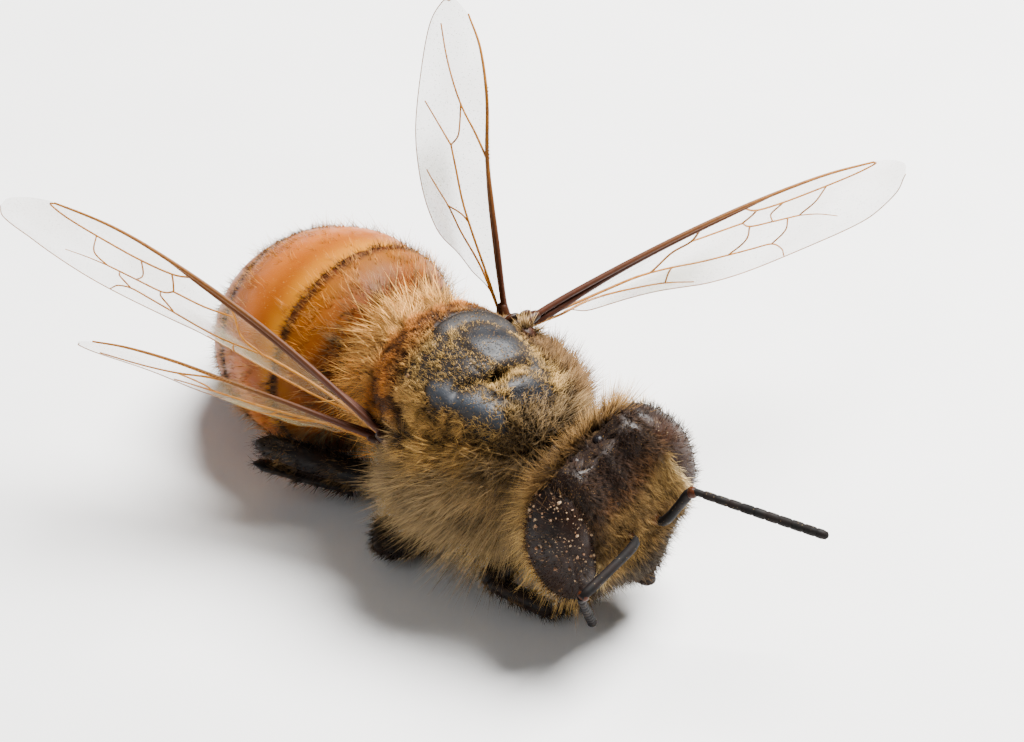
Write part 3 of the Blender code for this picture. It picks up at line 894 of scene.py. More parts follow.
def bald_mask(e):
    """1 where the back is bare, polished cuticle."""
    bare = np.maximum(oval(e, 0.42, -0.26, 0.24, 0.26), oval(e, 0.27, -0.77, 0.27, 0.10))
    bare = np.maximum(bare, np.maximum(ridge_mask(e) * 1.3, seam_mask(e) * 1.5))
    return np.clip(bare, 0, 1)


def stubble_mask(e):
    """1 on the large back plate, where only crumbs of stubble stand."""
    return soft(1.04, 0.96, plate_rim(e)) * soft(-0.54, -0.42, e[:, 0]) * above(e)


def hole_mask(e):
    spot = np.hypot((e[:, 0] - 0.14) / 0.15, (e[:, 1] + 0.565) / 0.055)
    return soft(1.25, 0.6, spot) * above(e)


def crest_mask(e):
    """The hairy crest (the scutellum) behind the large back plate."""
    behind = soft(-0.12, 0.06, e[:, 1]) * soft(0.92, 0.7, np.abs(e[:, 0]))
    return bump_at(plate_rim(e), 1.42, 0.30) * behind * above(e)


def thorax_shape(e):
    """The thorax's hard surface for each unit direction, in its own axes."""
    x, y, z = e.T
    top = above(e)
    raised = 0.12 * ridge_mask(e) - 0.12 * groove_mask(e) - 0.34 * hole_mask(e)
    raised += 0.13 * seam_mask(e) - 0.10 * bump_at(plate_rim(e), 1.09, 0.035) * top * soft(-0.4, 0.0, y)
    raised += 0.15 * crest_mask(e)
    raised -= 0.03 * bump_at(x, 0.03, 0.02) * soft(-0.3, -0.5, y) * top
    raised += 0.05 * oval(e, 0.42, -0.26, 0.26, 0.28) * top
    raised -= 0.06 * bump_at(z, 0.25 + 0.1 * np.sin(3 * y), 0.04)
    raised += 0.012 * ripple(e, 0.12, 5) * top
    return e * THORAX_HALF + e * (raised * MM)[:, None]


def thorax_colour(e):
    """Colour and bareness of the thorax's skin, with painted shade in the hole and the groove and a painted
    highlight on the ridge.
    """
    bare = np.clip(np.maximum(bald_mask(e), 0.85 * stubble_mask(e)), 0, 1)
    fur = thorax_fur_colour(e)
    under = 0.5 * fur[:, 0] + 0.03 * fur[:, 1]
    colour = under + (np.array(SLATE) - under) * bare[:, None]
    # Near black in the hole and, at half strength, in the groove is painted shade in these hollows; on the
    # seam it is the lip's own black.
    brown = (hole_mask(e) + 0.5 * groove_mask(e) + seam_mask(e)).clip(0, 1)[:, None]
    colour = colour + (np.array((0.006, 0.003, 0.0015)) - colour) * brown
    # A lighter bluish strip along the ridge's middle is a painted highlight.
    painted_highlight = (0.55 * ridge_mask(e) ** 2 * (1 - brown[:, 0]))[:, None]
    return colour + (np.array((0.058, 0.068, 0.084)) - colour) * painted_highlight, bare * (1 - brown[:, 0])


def thorax_lie(places, e):
    """Direction in which the thorax's hair lies: away from the neck, and down on the flanks."""
    down = soft(0.7, 0.1, e[:, 2])
    lie = unit(places - np.array((0.0, -2.6, -0.75)) * MM)
    lie = lie + np.stack([0.25 * np.sign(e[:, 0]), 0.35 * np.ones(len(e)), -0.55 * down], 1)
    swirl = np.stack([ripple(e, 0.22, 7), ripple(e, 0.22, 8), ripple(e, 0.22, 9)], 1)
    return lie + 0.3 * swirl


def lock_mask(e):
    """Where the long hair stands in locks (1) and where the gaps between them are (0)."""
    return soft(-0.45, 0.55, ripple(e, 0.075, 61))


def thorax_fur_colour(e):
    """Root and tip colour of the hair on the thorax."""
    low = soft(0.40, 0.10, e[:, 2])
    patch = soft(-0.5, 0.9, ripple(e, 0.3, 3))
    rear = soft(0.46, 0.66, e[:, 1]) * soft(0.3, 0.5, plate_rim(e) - 1.2)
    shoulder = soft(0.15, 0.5, e[:, 0]) * soft(0.4, 0.1, e[:, 1]) * (1 - stubble_mask(e))
    front = soft(-0.72, -0.9, e[:, 1]) * soft(-0.4, 0.1, e[:, 2])
    return layer_colours(
        OLIVE,
        (GOLD, 0.45 * patch),
        (SHADED_BUFF, low),
        (STUBBLE, stubble_mask(e)),
        (RUST, np.clip(1.6 * crest_mask(e), 0, 1)),
        (REAR_FRINGE, rear),
        (SHOULDER, shoulder),
        (COLLAR, front),
    )


def wing_root(name):
    return THORAX_CENTRE + Vector(WINGS[name][0]) * MM


def wing_nearness(places, reach):
    """1 at the root of a wing, falling to 0 at the given distance from it."""
    roots = np.array([tuple(wing_root(name)) for name in WINGS])
    roots = to_local(roots, STANCE)
    distance = np.linalg.norm(places[:, None] - roots[None], axis=2).min(1)
    return soft(reach, 0.45 * reach, distance)


def thorax_style(places, normals):
    e = unit(places / THORAX_HALF)
    reach = thorax_reach(e)
    long = soft(0.25, 0.7, reach / COAT_LONG)
    rear = soft(0.4, 0.75, e[:, 1])
    stubble = stubble_mask(e)
    under = soft(0.0, -0.5, e[:, 2]) * soft(-0.3, -0.7, e[:, 1])
    lift = np.radians(38 + 20 * long + 10 * rear + 14 * ripple(e, 0.12, 4))
    short = np.maximum(np.maximum(0.60 * stubble, 0.7 * bald_mask(e)), 0.22 * (1 - long))
    length = reach / np.sin(np.radians(36 + 12 * long + 4 * rear)) * (1 - short) * (1 + 0.5 * under)
    shoulder = soft(0.15, 0.5, e[:, 0]) * soft(0.45, 0.2, e[:, 1])
    crest = np.clip(1.5 * crest_mask(e), 0, 1)
    length = length * (1 - 0.45 * shoulder) * (1 - 0.55 * wing_nearness(places, 1.1 * MM))
    length = length * (1 + 0.18 * rear * (1 - crest)) * (1 - 0.3 * crest)
    lock = lock_mask(e)
    length = length * (1 - 0.28 * (1 - lock) * (1 - stubble))
    # Hair in the gaps between locks is darker and hair in the locks lighter: painted shade in the gaps.
    tone = 1 + (0.75 * lock - 0.42) * (1 - stubble)
    return {
        "lie": thorax_lie(places, e),
        "lift": lift,
        "length": length,
        "spread": (0.05 + 0.18 * long - 0.03 * stubble) * MM,
        "gather": 0.10 + (0.84 - 0.35 * rear) * long,
        "stray": 0.48 - (0.38 - 0.14 * rear) * long + 0.35 * stubble,
        "bend": 0.05 + 0.25 * long,
        "radius": bpy.context.scene.bee_coat.strand_width / 2 * (0.82 + 0.28 * long - 0.1 * stubble),
        "colour": thorax_fur_colour(e) * tone[:, None, None],
    }


def thorax_density(part):
    """Density of tufts on one part of the thorax."""

    def density(places, normals):
        e = unit(places / THORAX_HALF)
        stubble = stubble_mask(e)
        if part == "plate":
            crumbs = 0.25 + soft(-0.1, 0.5, ripple(e, 0.055, 1)) * (0.3 + soft(-0.5, 0.5, ripple(e, 0.2, 2)))
            rim = 1 + 1.2 * soft(0.75, 1.0, plate_rim(e)) + groove_mask(e)
            lip = soft(0.06, 0.3, seam_mask(e))
            return stubble * crumbs * rim * (1 - 0.94 * bald_mask(e)) * (1 - hole_mask(e)) * (1 - lip)
        back = soft(0.28, 0.46, e[:, 2]) * soft(0.52, 0.40, e[:, 1]) * soft(-0.84, -0.72, e[:, 1])
        if part == "back":
            clear = (1 - bald_mask(e)) * (1 - 0.95 * wing_nearness(places, 0.7 * MM))
            return back * (1 - stubble) * clear * (0.25 + 0.75 * lock_mask(e))
        rear = soft(0.40, 0.55, e[:, 1])
        front = soft(-0.50, -0.66, e[:, 1])
        side = (1 - rear) * (1 - front)
        left, right = side * (e[:, 0] > 0), side * (e[:, 0] < 0)
        share = {"rear": rear, "front": front, "left": left, "right": right}[part]
        covered = soft(-0.995, -0.9, e[:, 2]) * (np.abs(e[:, 1]) < 0.985)
        clumps = 0.22 + 0.78 * lock_mask(e)
        clear = (1 - bald_mask(e)) * (1 - 0.95 * wing_nearness(places, 0.7 * MM))
        return share * (1 - back) * (1 - stubble) * covered * clumps * clear

    return density


# ---------------------------------------------------------------------------- head


def head_shape(e):
    """The head's hard surface for each unit direction, with the clypeus, sockets and cheeks."""
    x, y, z = e.T
    places = e * (HEAD_HALF - FACE_COAT)
    places[:, 0] *= 1.0 - 0.25 * np.maximum(-z, 0) ** 1.5
    places[:, 1] *= 1.0 - 0.12 * np.maximum(z, 0)
    crown = CROWN_Z - 0.04 * MM
    places[:, 2] = np.minimum(places[:, 2], crown + (places[:, 2] - crown) * 0.25)
    places[:, 1] = np.where(places[:, 1] > 0, places[:, 1] * 0.8, places[:, 1])
    face = soft(-0.2, -0.6, y)
    rim = np.hypot(x / 0.36, (z + 0.55) / 0.34)
    raised = 0.14 * bump_at(rim, 0.0, 1.0) * face  # clypeus
    raised -= 0.05 * bump_at(rim, 1.15, 0.12) * face
    for socket in (-0.17, 0.17):
        raised -= 0.13 * bump_at(np.hypot(x - socket, z + 0.16), 0.0, 0.07) * face
    raised += 0.05 * bump_at(x, 0.0, 0.05) * face * soft(-0.1, 0.1, z)
    raised += 0.08 * bump_at(np.hypot((np.abs(x) - 0.5) / 0.25, (z + 0.05) / 0.5), 0.0, 1.0) * face
    raised += 0.05 * bump_at(np.hypot(x, y + 0.2), 0.0, 0.28) * soft(0.5, 0.8, z)
    raised += 0.12 * soft(0.1, 0.5, z) * soft(0.62, 0.35, np.abs(x)) * soft(-0.1, -0.5, y)  # brow
    raised += 0.008 * ripple(e, 0.12, 31)
    places = places + e * (raised * MM)[:, None]
    fillet = (0.15 + 0.13 * soft(0.2, 0.6, z)) * soft(1.55, 1.0, eye_gap(places)) * soft(0.3, -0.15, y)
    return places + e * (fillet * MM)[:, None]


def head_colour(e):
    """Colour and bareness of the head's skin: glossy near the tops of the eyes, dull in the fur."""
    places = e * HEAD_HALF
    fur = head_fur_colour(places)
    ground = 0.55 * fur[:, 0] + 0.10 * fur[:, 1]
    crown = brow_mask(places)
    bare = crown * soft(1.75, 1.25, eye_gap(places)) * soft(0.9, 1.25, places[:, 2] / MM)
    colour = ground + (np.array(BROWN_BLACK) * 0.7 - ground) * np.maximum(0.7 * crown, bare)[:, None]
    return colour, bare * 0.9


def eye_fullness(upper):
    """How much wider the eye is than an ellipsoid, where upper is the height as a share of its upper half."""
    return np.sqrt(np.maximum(1 - upper**3.2, 1e-12) / np.maximum(1 - upper**2, 0.02))


def eye_gap(places):
    """How far places on the head are outside the nearer eye, as a share of its size."""
    side = np.sign(places[:, 0])
    near = (places - EYE_PLACE * np.stack([side, *np.ones((2, len(places)))], 1)) / EYE_HALF
    upper = np.clip(near[:, 2], 0.0, 1.0)
    near[:, 0] += side * EYE_LEAN * soft(0.1, 1.0, upper) / EYE_HALF[0]
    near[:, 1] = np.where(near[:, 1] > 0, near[:, 1] / EYE_REAR, near[:, 1])
    near[:, :2] /= eye_fullness(upper)[:, None]
    return np.linalg.norm(near, axis=1)


def brow_mask(places):
    """1 on the crown and brow, where the hair is short and dark."""
    height = places[:, 2] / MM + 0.16 * ripple(places / MM, 0.5, 33) - 0.10 * np.abs(places[:, 0]) / MM
    return soft(0.62, 1.45, height) * soft(0.35, 0.05, places[:, 1] / MM)


def head_fur_colour(places):
    """Root and tip colour of the hair on the head: tan face, brown brow, grey round the mouth, olive nape."""
    rear = soft(0.02, 0.22, places[:, 1] / HEAD_HALF[1])
    height = places[:, 2] / HEAD_HALF[2]
    low = soft(-0.22, -0.44, height) * soft(0.2, -0.2, places[:, 1] / HEAD_HALF[1])
    patch = soft(-0.5, 0.9, ripple(places / MM, 0.45, 32))
    start = np.where(places[:, 0] > 0, 0.5, 0.1)
    pale = soft(start, start - 0.25, height)
    gap = eye_gap(places)
    brow = brow_mask(places)
    shade = soft(1.45, 1.1, gap) * soft(start - 0.1, start + 0.2, height)
    rim = rear * soft(1.4, 1.05, gap) * (1 - soft(0.3, 0.75, height))
    return layer_colours(
        TAN,
        (HONEY, 0.55 * patch),
        (NEAR_EYE, soft(1.3, 1.02, gap) * 0.85 * pale),
        (EYE_MARGIN, soft(1.13, 1.03, gap) * pale),
        (BROW, soft(0.02, 0.5, brow)),
        (DARK_BROW, soft(0.45, 0.95, brow)),
        (EYE_SHADE, 0.85 * shade),
        (GREY, low),
        (NAPE, rear),
        (NAPE_RIM, rim),
    )


def head_density(part):
    """Density of tufts on the face and crown, or on the back of the head."""

    def density(places, normals):
        e = unit(places / HEAD_HALF)
        rear = soft(0.02, 0.22, e[:, 1])
        free = eye_gap(places) > 0.985
        if part == "rear":
            return free * rear * soft(0.995, 0.93, e[:, 1]) * (1 + 5 * soft(1.35, 1.0, eye_gap(places)))
        crown = soft(0.84, 0.95, e[:, 2])
        return free * (1 - rear) * (1 - 0.75 * crown) * (1 - 0.35 * brow_mask(places))

    return density


def head_style(places, normals):
    e = unit(places / HEAD_HALF)
    count = len(e)
    rear = soft(0.02, 0.22, e[:, 1])
    top = soft(0.3, 0.75, e[:, 2])
    low = soft(-0.22, -0.44, e[:, 2]) * soft(0.2, -0.2, e[:, 1])
    brow = brow_mask(places)
    rim = rear * soft(1.4, 1.05, eye_gap(places))
    outward = unit(places * (1, 0, 1))
    lie = np.array((0.0, 0.1, -0.9)) * (1 - rear)[:, None] + outward * rear[:, None] * 1.2
    lie = lie + np.stack([np.zeros(count), 0.25 * rear, -0.3 * rear], 1)
    swirl = [ripple(places / MM, 0.35, 34), ripple(places / MM, 0.35, 35), np.zeros(count)]
    lie = lie + 0.35 * np.stack(swirl, 1)
    return {
        "lie": lie,
        "lift": np.radians(33 + 14 * rear - 12 * rim),
        "length": (0.27 - 0.12 * brow + 0.34 * rear * (0.8 + 0.2 * top) + 0.30 * rim + 0.06 * low) * MM,
        "spread": np.full(count, 0.05 * MM),
        "gather": 0.30 + 0.40 * rear,
        "stray": 0.28 - 0.12 * rear,
        "bend": np.full(count, 0.14),
        "radius": np.full(count, 0.0075 * MM) * (1 + 0.1 * rear),
        "colour": head_fur_colour(places),
    }


def eye_shape(side):
    def shape(e):
        upper = np.maximum(e[:, 2], 0.0)
        places = e * EYE_HALF * 0.985
        places[:, :2] *= eye_fullness(upper)[:, None]
        places[:, 0] -= side * EYE_LEAN * soft(0.1, 1.0, upper)
        places[:, 1] = np.where(places[:, 1] > 0, places[:, 1] * EYE_REAR, places[:, 1])
        return places + EYE_PLACE * (side, 1, 1)

    return shape


# ---------------------------------------------------------------------------- abdomen


def abdomen_angle(share):
    """Slope of the abdomen's spine at a share of its length, from level."""
    return ABDOMEN_RISE - ABDOMEN_TURN * share


def abdomen_point(share):
    radius = ABDOMEN_LENGTH / ABDOMEN_TURN
    start, here = ABDOMEN_RISE, abdomen_angle(share)
    along = radius * (math.sin(start) - math.sin(here))
    upward = radius * (math.cos(here) - math.cos(start))
    return ABDOMEN_START + Vector((0, along, upward))


def abdomen_share(places):
    """Share of the abdomen's length at which each place lies, the reverse of abdomen_point."""
    radius = ABDOMEN_LENGTH / ABDOMEN_TURN
    along = places[:, 1] - ABDOMEN_START.y - radius * math.sin(ABDOMEN_RISE)
    upward = places[:, 2] - ABDOMEN_START.z + radius * math.cos(ABDOMEN_RISE)
    return (ABDOMEN_RISE - np.arctan2(-along, upward)) / ABDOMEN_TURN


def abdomen_frame(share, spread):
    angle = abdomen_angle(share)
    fullness = math.sin(math.pi * min(max(share, 0.0), 0.995) ** 0.58) ** 0.45
    half_width = max(ABDOMEN_HALF_WIDTH * fullness - 0.05 * MM, 0.12 * MM) * spread
    forward = Vector((0, math.cos(angle), math.sin(angle)))
    half_depth = half_width * ABDOMEN_FLATNESS
    return ring_frame(abdomen_point(share), forward, Vector((1, 0, 0)), half_width, half_depth)


def plate_progress(share):
    """How far along its own plate each share lies, from 0 to 1, and the plate's number."""
    joints = np.array(ABDOMEN_JOINTS)
    number = np.clip(np.searchsorted(joints, share, side="right") - 1, 0, len(joints) - 2)
    return (share - joints[number]) / (joints[number + 1] - joints[number]), number


def plate_colour(places):
    """Bands of a plate: amber or yellow in front, red towards the rear and dark at its rear edge."""
    colours = bpy.context.scene.bee_colours
    amber, yellow, red = (np.array(tuple(c)) for c in (colours.amber, colours.yellow, colours.red))
    share = abdomen_share(places)
    progress, number = plate_progress(share)
    progress = progress[:, None]
    base = yellow + (amber - yellow) * soft(0.05, 0.3, progress)
    base = base + (red - base) * soft(0.28, 0.5, progress) * (1 - 0.75 * soft(0.55, 0.75, progress))
    # The first plate, next to the thorax, takes a darker copy of the amber: painted shade.
    first = (number == 0)[:, None]
    base = np.where(first, (amber + (yellow - amber) * 0.35 * soft(0.4, 0.8, progress)) * 0.6, base)
    edge = soft(0.84, 0.93, progress)
    darker = soft(0.5, 0.95, share)[:, None]
    brown = np.array((0.030, 0.011, 0.004))
    base = base + (brown - base) * np.maximum(edge * 0.95, darker * soft(0.25, 0.6, progress))
    return base + (brown - base) * 0.85 * soft(0.72, 0.85, share)[:, None]


def abdomen_density(places, normals):
    share = abdomen_share(places)
    progress, _ = plate_progress(share)
    band = 4.5 * bump_at(progress, 0.95, 0.05)
    sparse = 0.30 + 0.6 * soft(0.45, 0.7, progress)
    side = soft(0.75, 0.95, np.abs(places[:, 0]) / ABDOMEN_HALF_WIDTH)
    front = 1.4 * soft(0.13, 0.04, share)
    return (band + sparse + 0.6 * side + front) * (share > 0.02) * (share < 0.985)


def abdomen_style(places, normals):
    share = abdomen_share(places)
    count = len(share)
    progress, _ = plate_progress(share)
    angle = abdomen_angle(share)
    lie = np.stack([np.zeros(count), np.cos(angle), np.sin(angle)], 1)
    band = soft(0.88, 0.93, progress)
    front = soft(0.14, 0.05, share)
    side = soft(0.6, 0.95, np.abs(places[:, 0]) / ABDOMEN_HALF_WIDTH)
    cream = np.maximum(soft(0.5, 0.62, share), 0.6 * side)
    return {
        "lie": lie,
        "lift": np.radians(24 + 16 * front + 8 * band),
        "length": (0.33 + 0.30 * front + 0.10 * side - 0.14 * band) * MM,
        "spread": np.full(count, 0.09 * MM),
        "gather": np.full(count, 0.2),
        "stray": np.full(count, 0.3),
        "bend": np.full(count, 0.15),
        "radius": np.full(count, 0.0056 * MM) * (1 + 0.35 * band),
        "colour": layer_colours(AMBER_HAIR, (CREAM, cream), (COMB, band * 0.95), (SHADED_BUFF, front)),
    }


# ---------------------------------------------------------------------------- wings

# Shares of the wing's length: along the front vein, and from it towards the rear edge.
WING_FRONT = {
    "fore": (
        (0.0, 0.0), (0.2, -0.006), (0.4, -0.012), (0.72, 0.0), (0.9, 0.045), (0.985, 0.115), (1.0, 0.18),
    ),
    "hind": ((0.0, 0.0), (0.19, 0.0), (0.4, 0.008), (0.7, 0.012), (0.9, 0.06), (0.985, 0.12), (0.99, 0.15)),
}
WING_REAR = {
    "fore": (
        (0.0, 0.03), (0.08, 0.06), (0.19, 0.155), (0.36, 0.24), (0.55, 0.325), (0.72, 0.345), (0.88, 0.315),
        (0.975, 0.25), (1.0, 0.18),
    ),
    "hind": (
        (0.0, 0.03), (0.1, 0.07), (0.19, 0.15), (0.28, 0.225), (0.45, 0.28), (0.68, 0.272), (0.9, 0.23),
        (0.985, 0.18), (0.99, 0.15),
    ),
}
# Each vein: its points, then its width at both ends in millimetres, then how dark it is at both ends.
VEINS = {
    "fore": (
        (((0.0, 0.004), (0.2, -0.004), (0.4, -0.01), (0.6, -0.006), (0.76, 0.008), (0.9, 0.048)),
         0.11, 0.03, 1.0, 0.5),
        (((0.0, 0.018), (0.2, 0.012), (0.4, 0.008), (0.53, 0.006), (0.62, -0.002)), 0.12, 0.045, 1.0, 0.7),
        (((0.56, 0.004), (0.6, 0.05), (0.68, 0.076), (0.78, 0.083), (0.86, 0.078), (0.905, 0.062),
          (0.9, 0.05)), 0.03, 0.022, 0.3, 0.2),
        (((0.0, 0.025), (0.15, 0.065), (0.28, 0.105), (0.335, 0.13)), 0.05, 0.035, 0.6, 0.3),
        (((0.335, 0.13), (0.38, 0.105), (0.41, 0.08), (0.435, 0.045), (0.45, 0.012)), 0.03, 0.03, 0.3, 0.4),
        (((0.43, 0.052), (0.5, 0.088), (0.575, 0.11)), 0.028, 0.026, 0.3, 0.2),
        (((0.575, 0.11), (0.585, 0.085), (0.6, 0.05)), 0.026, 0.026, 0.2, 0.2),
        (((0.575, 0.11), (0.6, 0.148), (0.66, 0.17), (0.73, 0.19)), 0.026, 0.022, 0.2, 0.15),
        (((0.66, 0.17), (0.652, 0.125), (0.672, 0.076)), 0.022, 0.022, 0.2, 0.2),
        (((0.73, 0.19), (0.77, 0.155), (0.785, 0.083)), 0.022, 0.022, 0.15, 0.15),
        (((0.73, 0.19), (0.78, 0.215), (0.83, 0.25)), 0.016, 0.008, 0.1, 0.0),
        (((0.6, 0.148), (0.592, 0.195), (0.55, 0.236)), 0.024, 0.024, 0.2, 0.2),
        (((0.7, 0.183), (0.695, 0.225), (0.662, 0.262)), 0.022, 0.022, 0.2, 0.2),
        (((0.335, 0.13), (0.42, 0.185), (0.48, 0.215), (0.55, 0.236), (0.61, 0.25), (0.662, 0.262),
          (0.69, 0.3), (0.7, 0.34)), 0.03, 0.02, 0.3, 0.1),
        (((0.4, 0.172), (0.395, 0.2), (0.385, 0.228)), 0.026, 0.026, 0.3, 0.3),
        (((0.0, 0.03), (0.08, 0.058), (0.2, 0.125), (0.3, 0.182), (0.385, 0.228), (0.46, 0.275)),
         0.045, 0.015, 0.6, 0.1),
    ),
    "hind": (
        (((0.0, 0.006), (0.2, 0.004), (0.36, 0.012), (0.5, 0.02), (0.68, 0.016), (0.84, 0.04), (0.95, 0.085)),
         0.10, 0.025, 1.0, 0.4),
        (((0.0, 0.016), (0.2, 0.014), (0.4, 0.02), (0.5, 0.022)), 0.09, 0.04, 0.9, 0.6),
        (((0.5, 0.022), (0.58, 0.06), (0.67, 0.105), (0.8, 0.15), (0.92, 0.18)), 0.035, 0.018, 0.4, 0.1),
        (((0.0, 0.022), (0.1, 0.045), (0.226, 0.079), (0.351, 0.108), (0.46, 0.125), (0.541, 0.14)),
         0.04, 0.026, 0.5, 0.2),
        (((0.541, 0.14), (0.6, 0.185), (0.675, 0.243)), 0.026, 0.016, 0.2, 0.1),
        (((0.541, 0.14), (0.568, 0.115), (0.61, 0.108), (0.67, 0.105)), 0.024, 0.022, 0.2, 0.1),
        (((0.0, 0.028), (0.08, 0.055), (0.164, 0.083), (0.264, 0.128), (0.36, 0.17), (0.46, 0.24)),
         0.04, 0.016, 0.5, 0.1),
        (((0.3, 0.1), (0.32, 0.12), (0.35, 0.165)), 0.024, 0.024, 0.3, 0.3),
    ),
}
# Root from the centre of the thorax in millimetres, the directions along the front vein and to the rear,
# then how far the wing bows out of its plane, its twist in radians and its sweep, the first and last as
# shares of its length.
WINGS = {
    "forewing_left": (
        (1.51, -0.01, 1.51), (0.9505, -0.2621, 0.1671), (0.2668, 0.4124, -0.8711), 0.020, -0.08, -0.011
    ),
    "forewing_right": (
        (-1.861, 0.503, -0.122), (-0.3662, 0.7947, 0.4842), (0.3192, 0.596, -0.7368), -0.042, 0.186, 0.017
    ),
    "hindwing_left": (
        (1.66, 0.8, 1.03), (0.293, 0.3709, 0.8812), (-0.3003, 0.9108, -0.2834), 0.029, 0.026, 0.010
    ),
    "hindwing_right": (
        (-1.546, 1.101, -0.652), (-0.5541, 0.7793, 0.2927), (0.3485, 0.5365, -0.7686), -0.011, -0.033, -0.002
    ),
}


def wing_placement(name):
    root, along, across = (Vector(part) for part in WINGS[name][:3])
    along = along.normalized()
    across = (across - along * across.dot(along)).normalized()
    axes = Matrix((along, across, along.cross(across))).transposed().to_4x4()
    return Matrix.Translation(THORAX_CENTRE + root * MM) @ axes


def bent(name, x, y, height, length):
    """A point of a wing after it has bowed, twisted and swept, in metres in the wing's own axes."""
    bow, twist, sweep = WINGS[name][3:]
    arch = 4 * x * (1 - x)
    y = y + sweep * arch
    turn = twist * x
    lift = (y * math.sin(turn) + bow * arch) * length + height
    return Vector((x * length, y * math.cos(turn) * length, lift))


# Plates that join each wing to the body: their reach inwards, place across and radii, in millimetres.
HINGE = {
    "fore": ((0.45, -0.04, 0.20, 0.09), (0.40, 0.20, 0.16, 0.07), (0.25, 0.36, 0.13, 0.05)),
    "hind": ((0.40, 0.0, 0.15, 0.07), (0.35, 0.18, 0.12, 0.05)),
}


# Small plates round each wing's root: place inwards, across and above, and radius, in millimetres.
ROOT_PLATES = (
    (0.22, 0.02, 0.05, 0.17), (0.12, 0.26, 0.04, 0.15), (0.42, 0.14, 0.03, 0.19), (0.06, -0.13, 0.06, 0.12),
    (0.36, -0.16, 0.08, 0.16), (0.55, 0.0, 0.1, 0.2), (0.3, 0.34, 0.0, 0.14),
)


def hinge_cuticle():
    return cuticle_material("hinge cuticle", (0.040, 0.012, 0.004), (0.010, 0.005, 0.003), 0.36)


def wing_height(x, y):
    """Height of the membrane's pleats over the wing's plane, from shares of its length."""
    fan = np.arctan2(y, x + 0.12)
    pleats = 0.05 * np.cos(fan * 34) * np.clip(1.1 - x, 0, 1)
    arch = 0.14 * np.sin(np.clip(y / 0.3, 0, 1) * np.pi) * soft(0.0, 0.4, x)
    return (pleats + arch - 0.06) * MM


def membrane_mesh(wing, kind, length, pose):
    """The film between the wing's front and rear edges, a hundredth of a millimetre thick."""
    along, across = 96, 28
    front = smooth_path([(x, y, 0.0) for x, y in WING_FRONT[kind]], along + 1)
    rear = smooth_path([(x, y, 0.0) for x, y in WING_REAR[kind]], along + 1)
    bm = bmesh.new()
    bmesh.ops.create_grid(bm, x_segments=along, y_segments=across, size=0.5)
    for vert in bm.verts:
        i = round((vert.co.x + 0.5) * along)
        share = vert.co.y + 0.5
        x, y, _ = front[i].lerp(rear[i], share)
        vert.co = bent(wing, x, y, float(wing_height(x, y)), length)
    bmesh.ops.remove_doubles(bm, verts=bm.verts, dist=1e-7)
    mesh = mesh_from(f"{wing}_membrane", bm, 180.0)
    places = vertex_array(mesh)
    x, y = places[:, 0] / length, places[:, 1] / length
    # This mask marks where the painted sheen goes and where the film is less clear.
    fold = soft(0.12, 0.2, y) * soft(0.62, 0.4, x)
    paint(mesh, np.ones((len(places), 3)), fold)
    mesh.transform(pose)
    return mesh


def vein_mesh(wing, kind, length, pose):
    """All veins of a wing as tubes along the membrane, with the comb of small hooks on a hindwing."""
    colours = bpy.context.scene.bee_colours
    dark, gold = np.array(tuple(colours.vein_dark)), np.array(tuple(colours.vein_gold))
    parts, shades = [], []
    for points, wide, narrow, dark_start, dark_end in VEINS[kind]:
        path = smooth_path([(x, y, 0.0) for x, y in points], 6 * len(points))
        steps = np.linspace(0, 1, len(path))
        radii = [(wide + (narrow - wide) * t + 0.006) * 0.64 * MM for t in steps]
        line = [bent(wing, p.x, p.y, float(wing_height(p.x, p.y)), length) for p in path]
        parts.append(tube_along(line, radii, 8))
        shades.append((steps, dark_start, dark_end, 8))
    tail = smooth_path([(x, y, 0.0) for x, y in WING_REAR[kind]], 72)
    line = [bent(wing, p.x, p.y, float(wing_height(p.x, p.y)), length) for p in tail]
    parts.append(tube_along(line, [0.011 * MM] * len(line), 6))
    shades.append((np.linspace(0, 1, len(line)), 0.62, 0.5, 6))
    if kind == "hind":
        for step in range(20):
            x = 0.5 + 0.22 * step / 19
            foot = bent(wing, x, 0.017, float(wing_height(x, 0.017)), length)
            offsets = ((0, 0, 0), (0.01, -0.05, 0.02), (0.03, -0.07, 0.05))
            hook = [foot + Vector(offset) * MM for offset in offsets]
            parts.append(tube_along(hook, [0.012 * MM, 0.01 * MM, 0.005 * MM], 5))
            shades.append((np.linspace(0, 1, 3), 0.6, 0.4, 5))
    bm = join_parts(parts)
    mesh = mesh_from(f"{wing}_veins", bm, 60.0)
    tint = []
    for steps, start, end, sides in shades:
        tint += [value for value in start + (end - start) * steps for _ in range(sides)]
    tint = np.clip(np.array(tint), 0, 1)[:, None]
    paint(mesh, gold + (dark - gold) * soft(0.3, 0.95, tint))
    mesh.transform(pose)
    return mesh


# ---------------------------------------------------------------------------- limbs

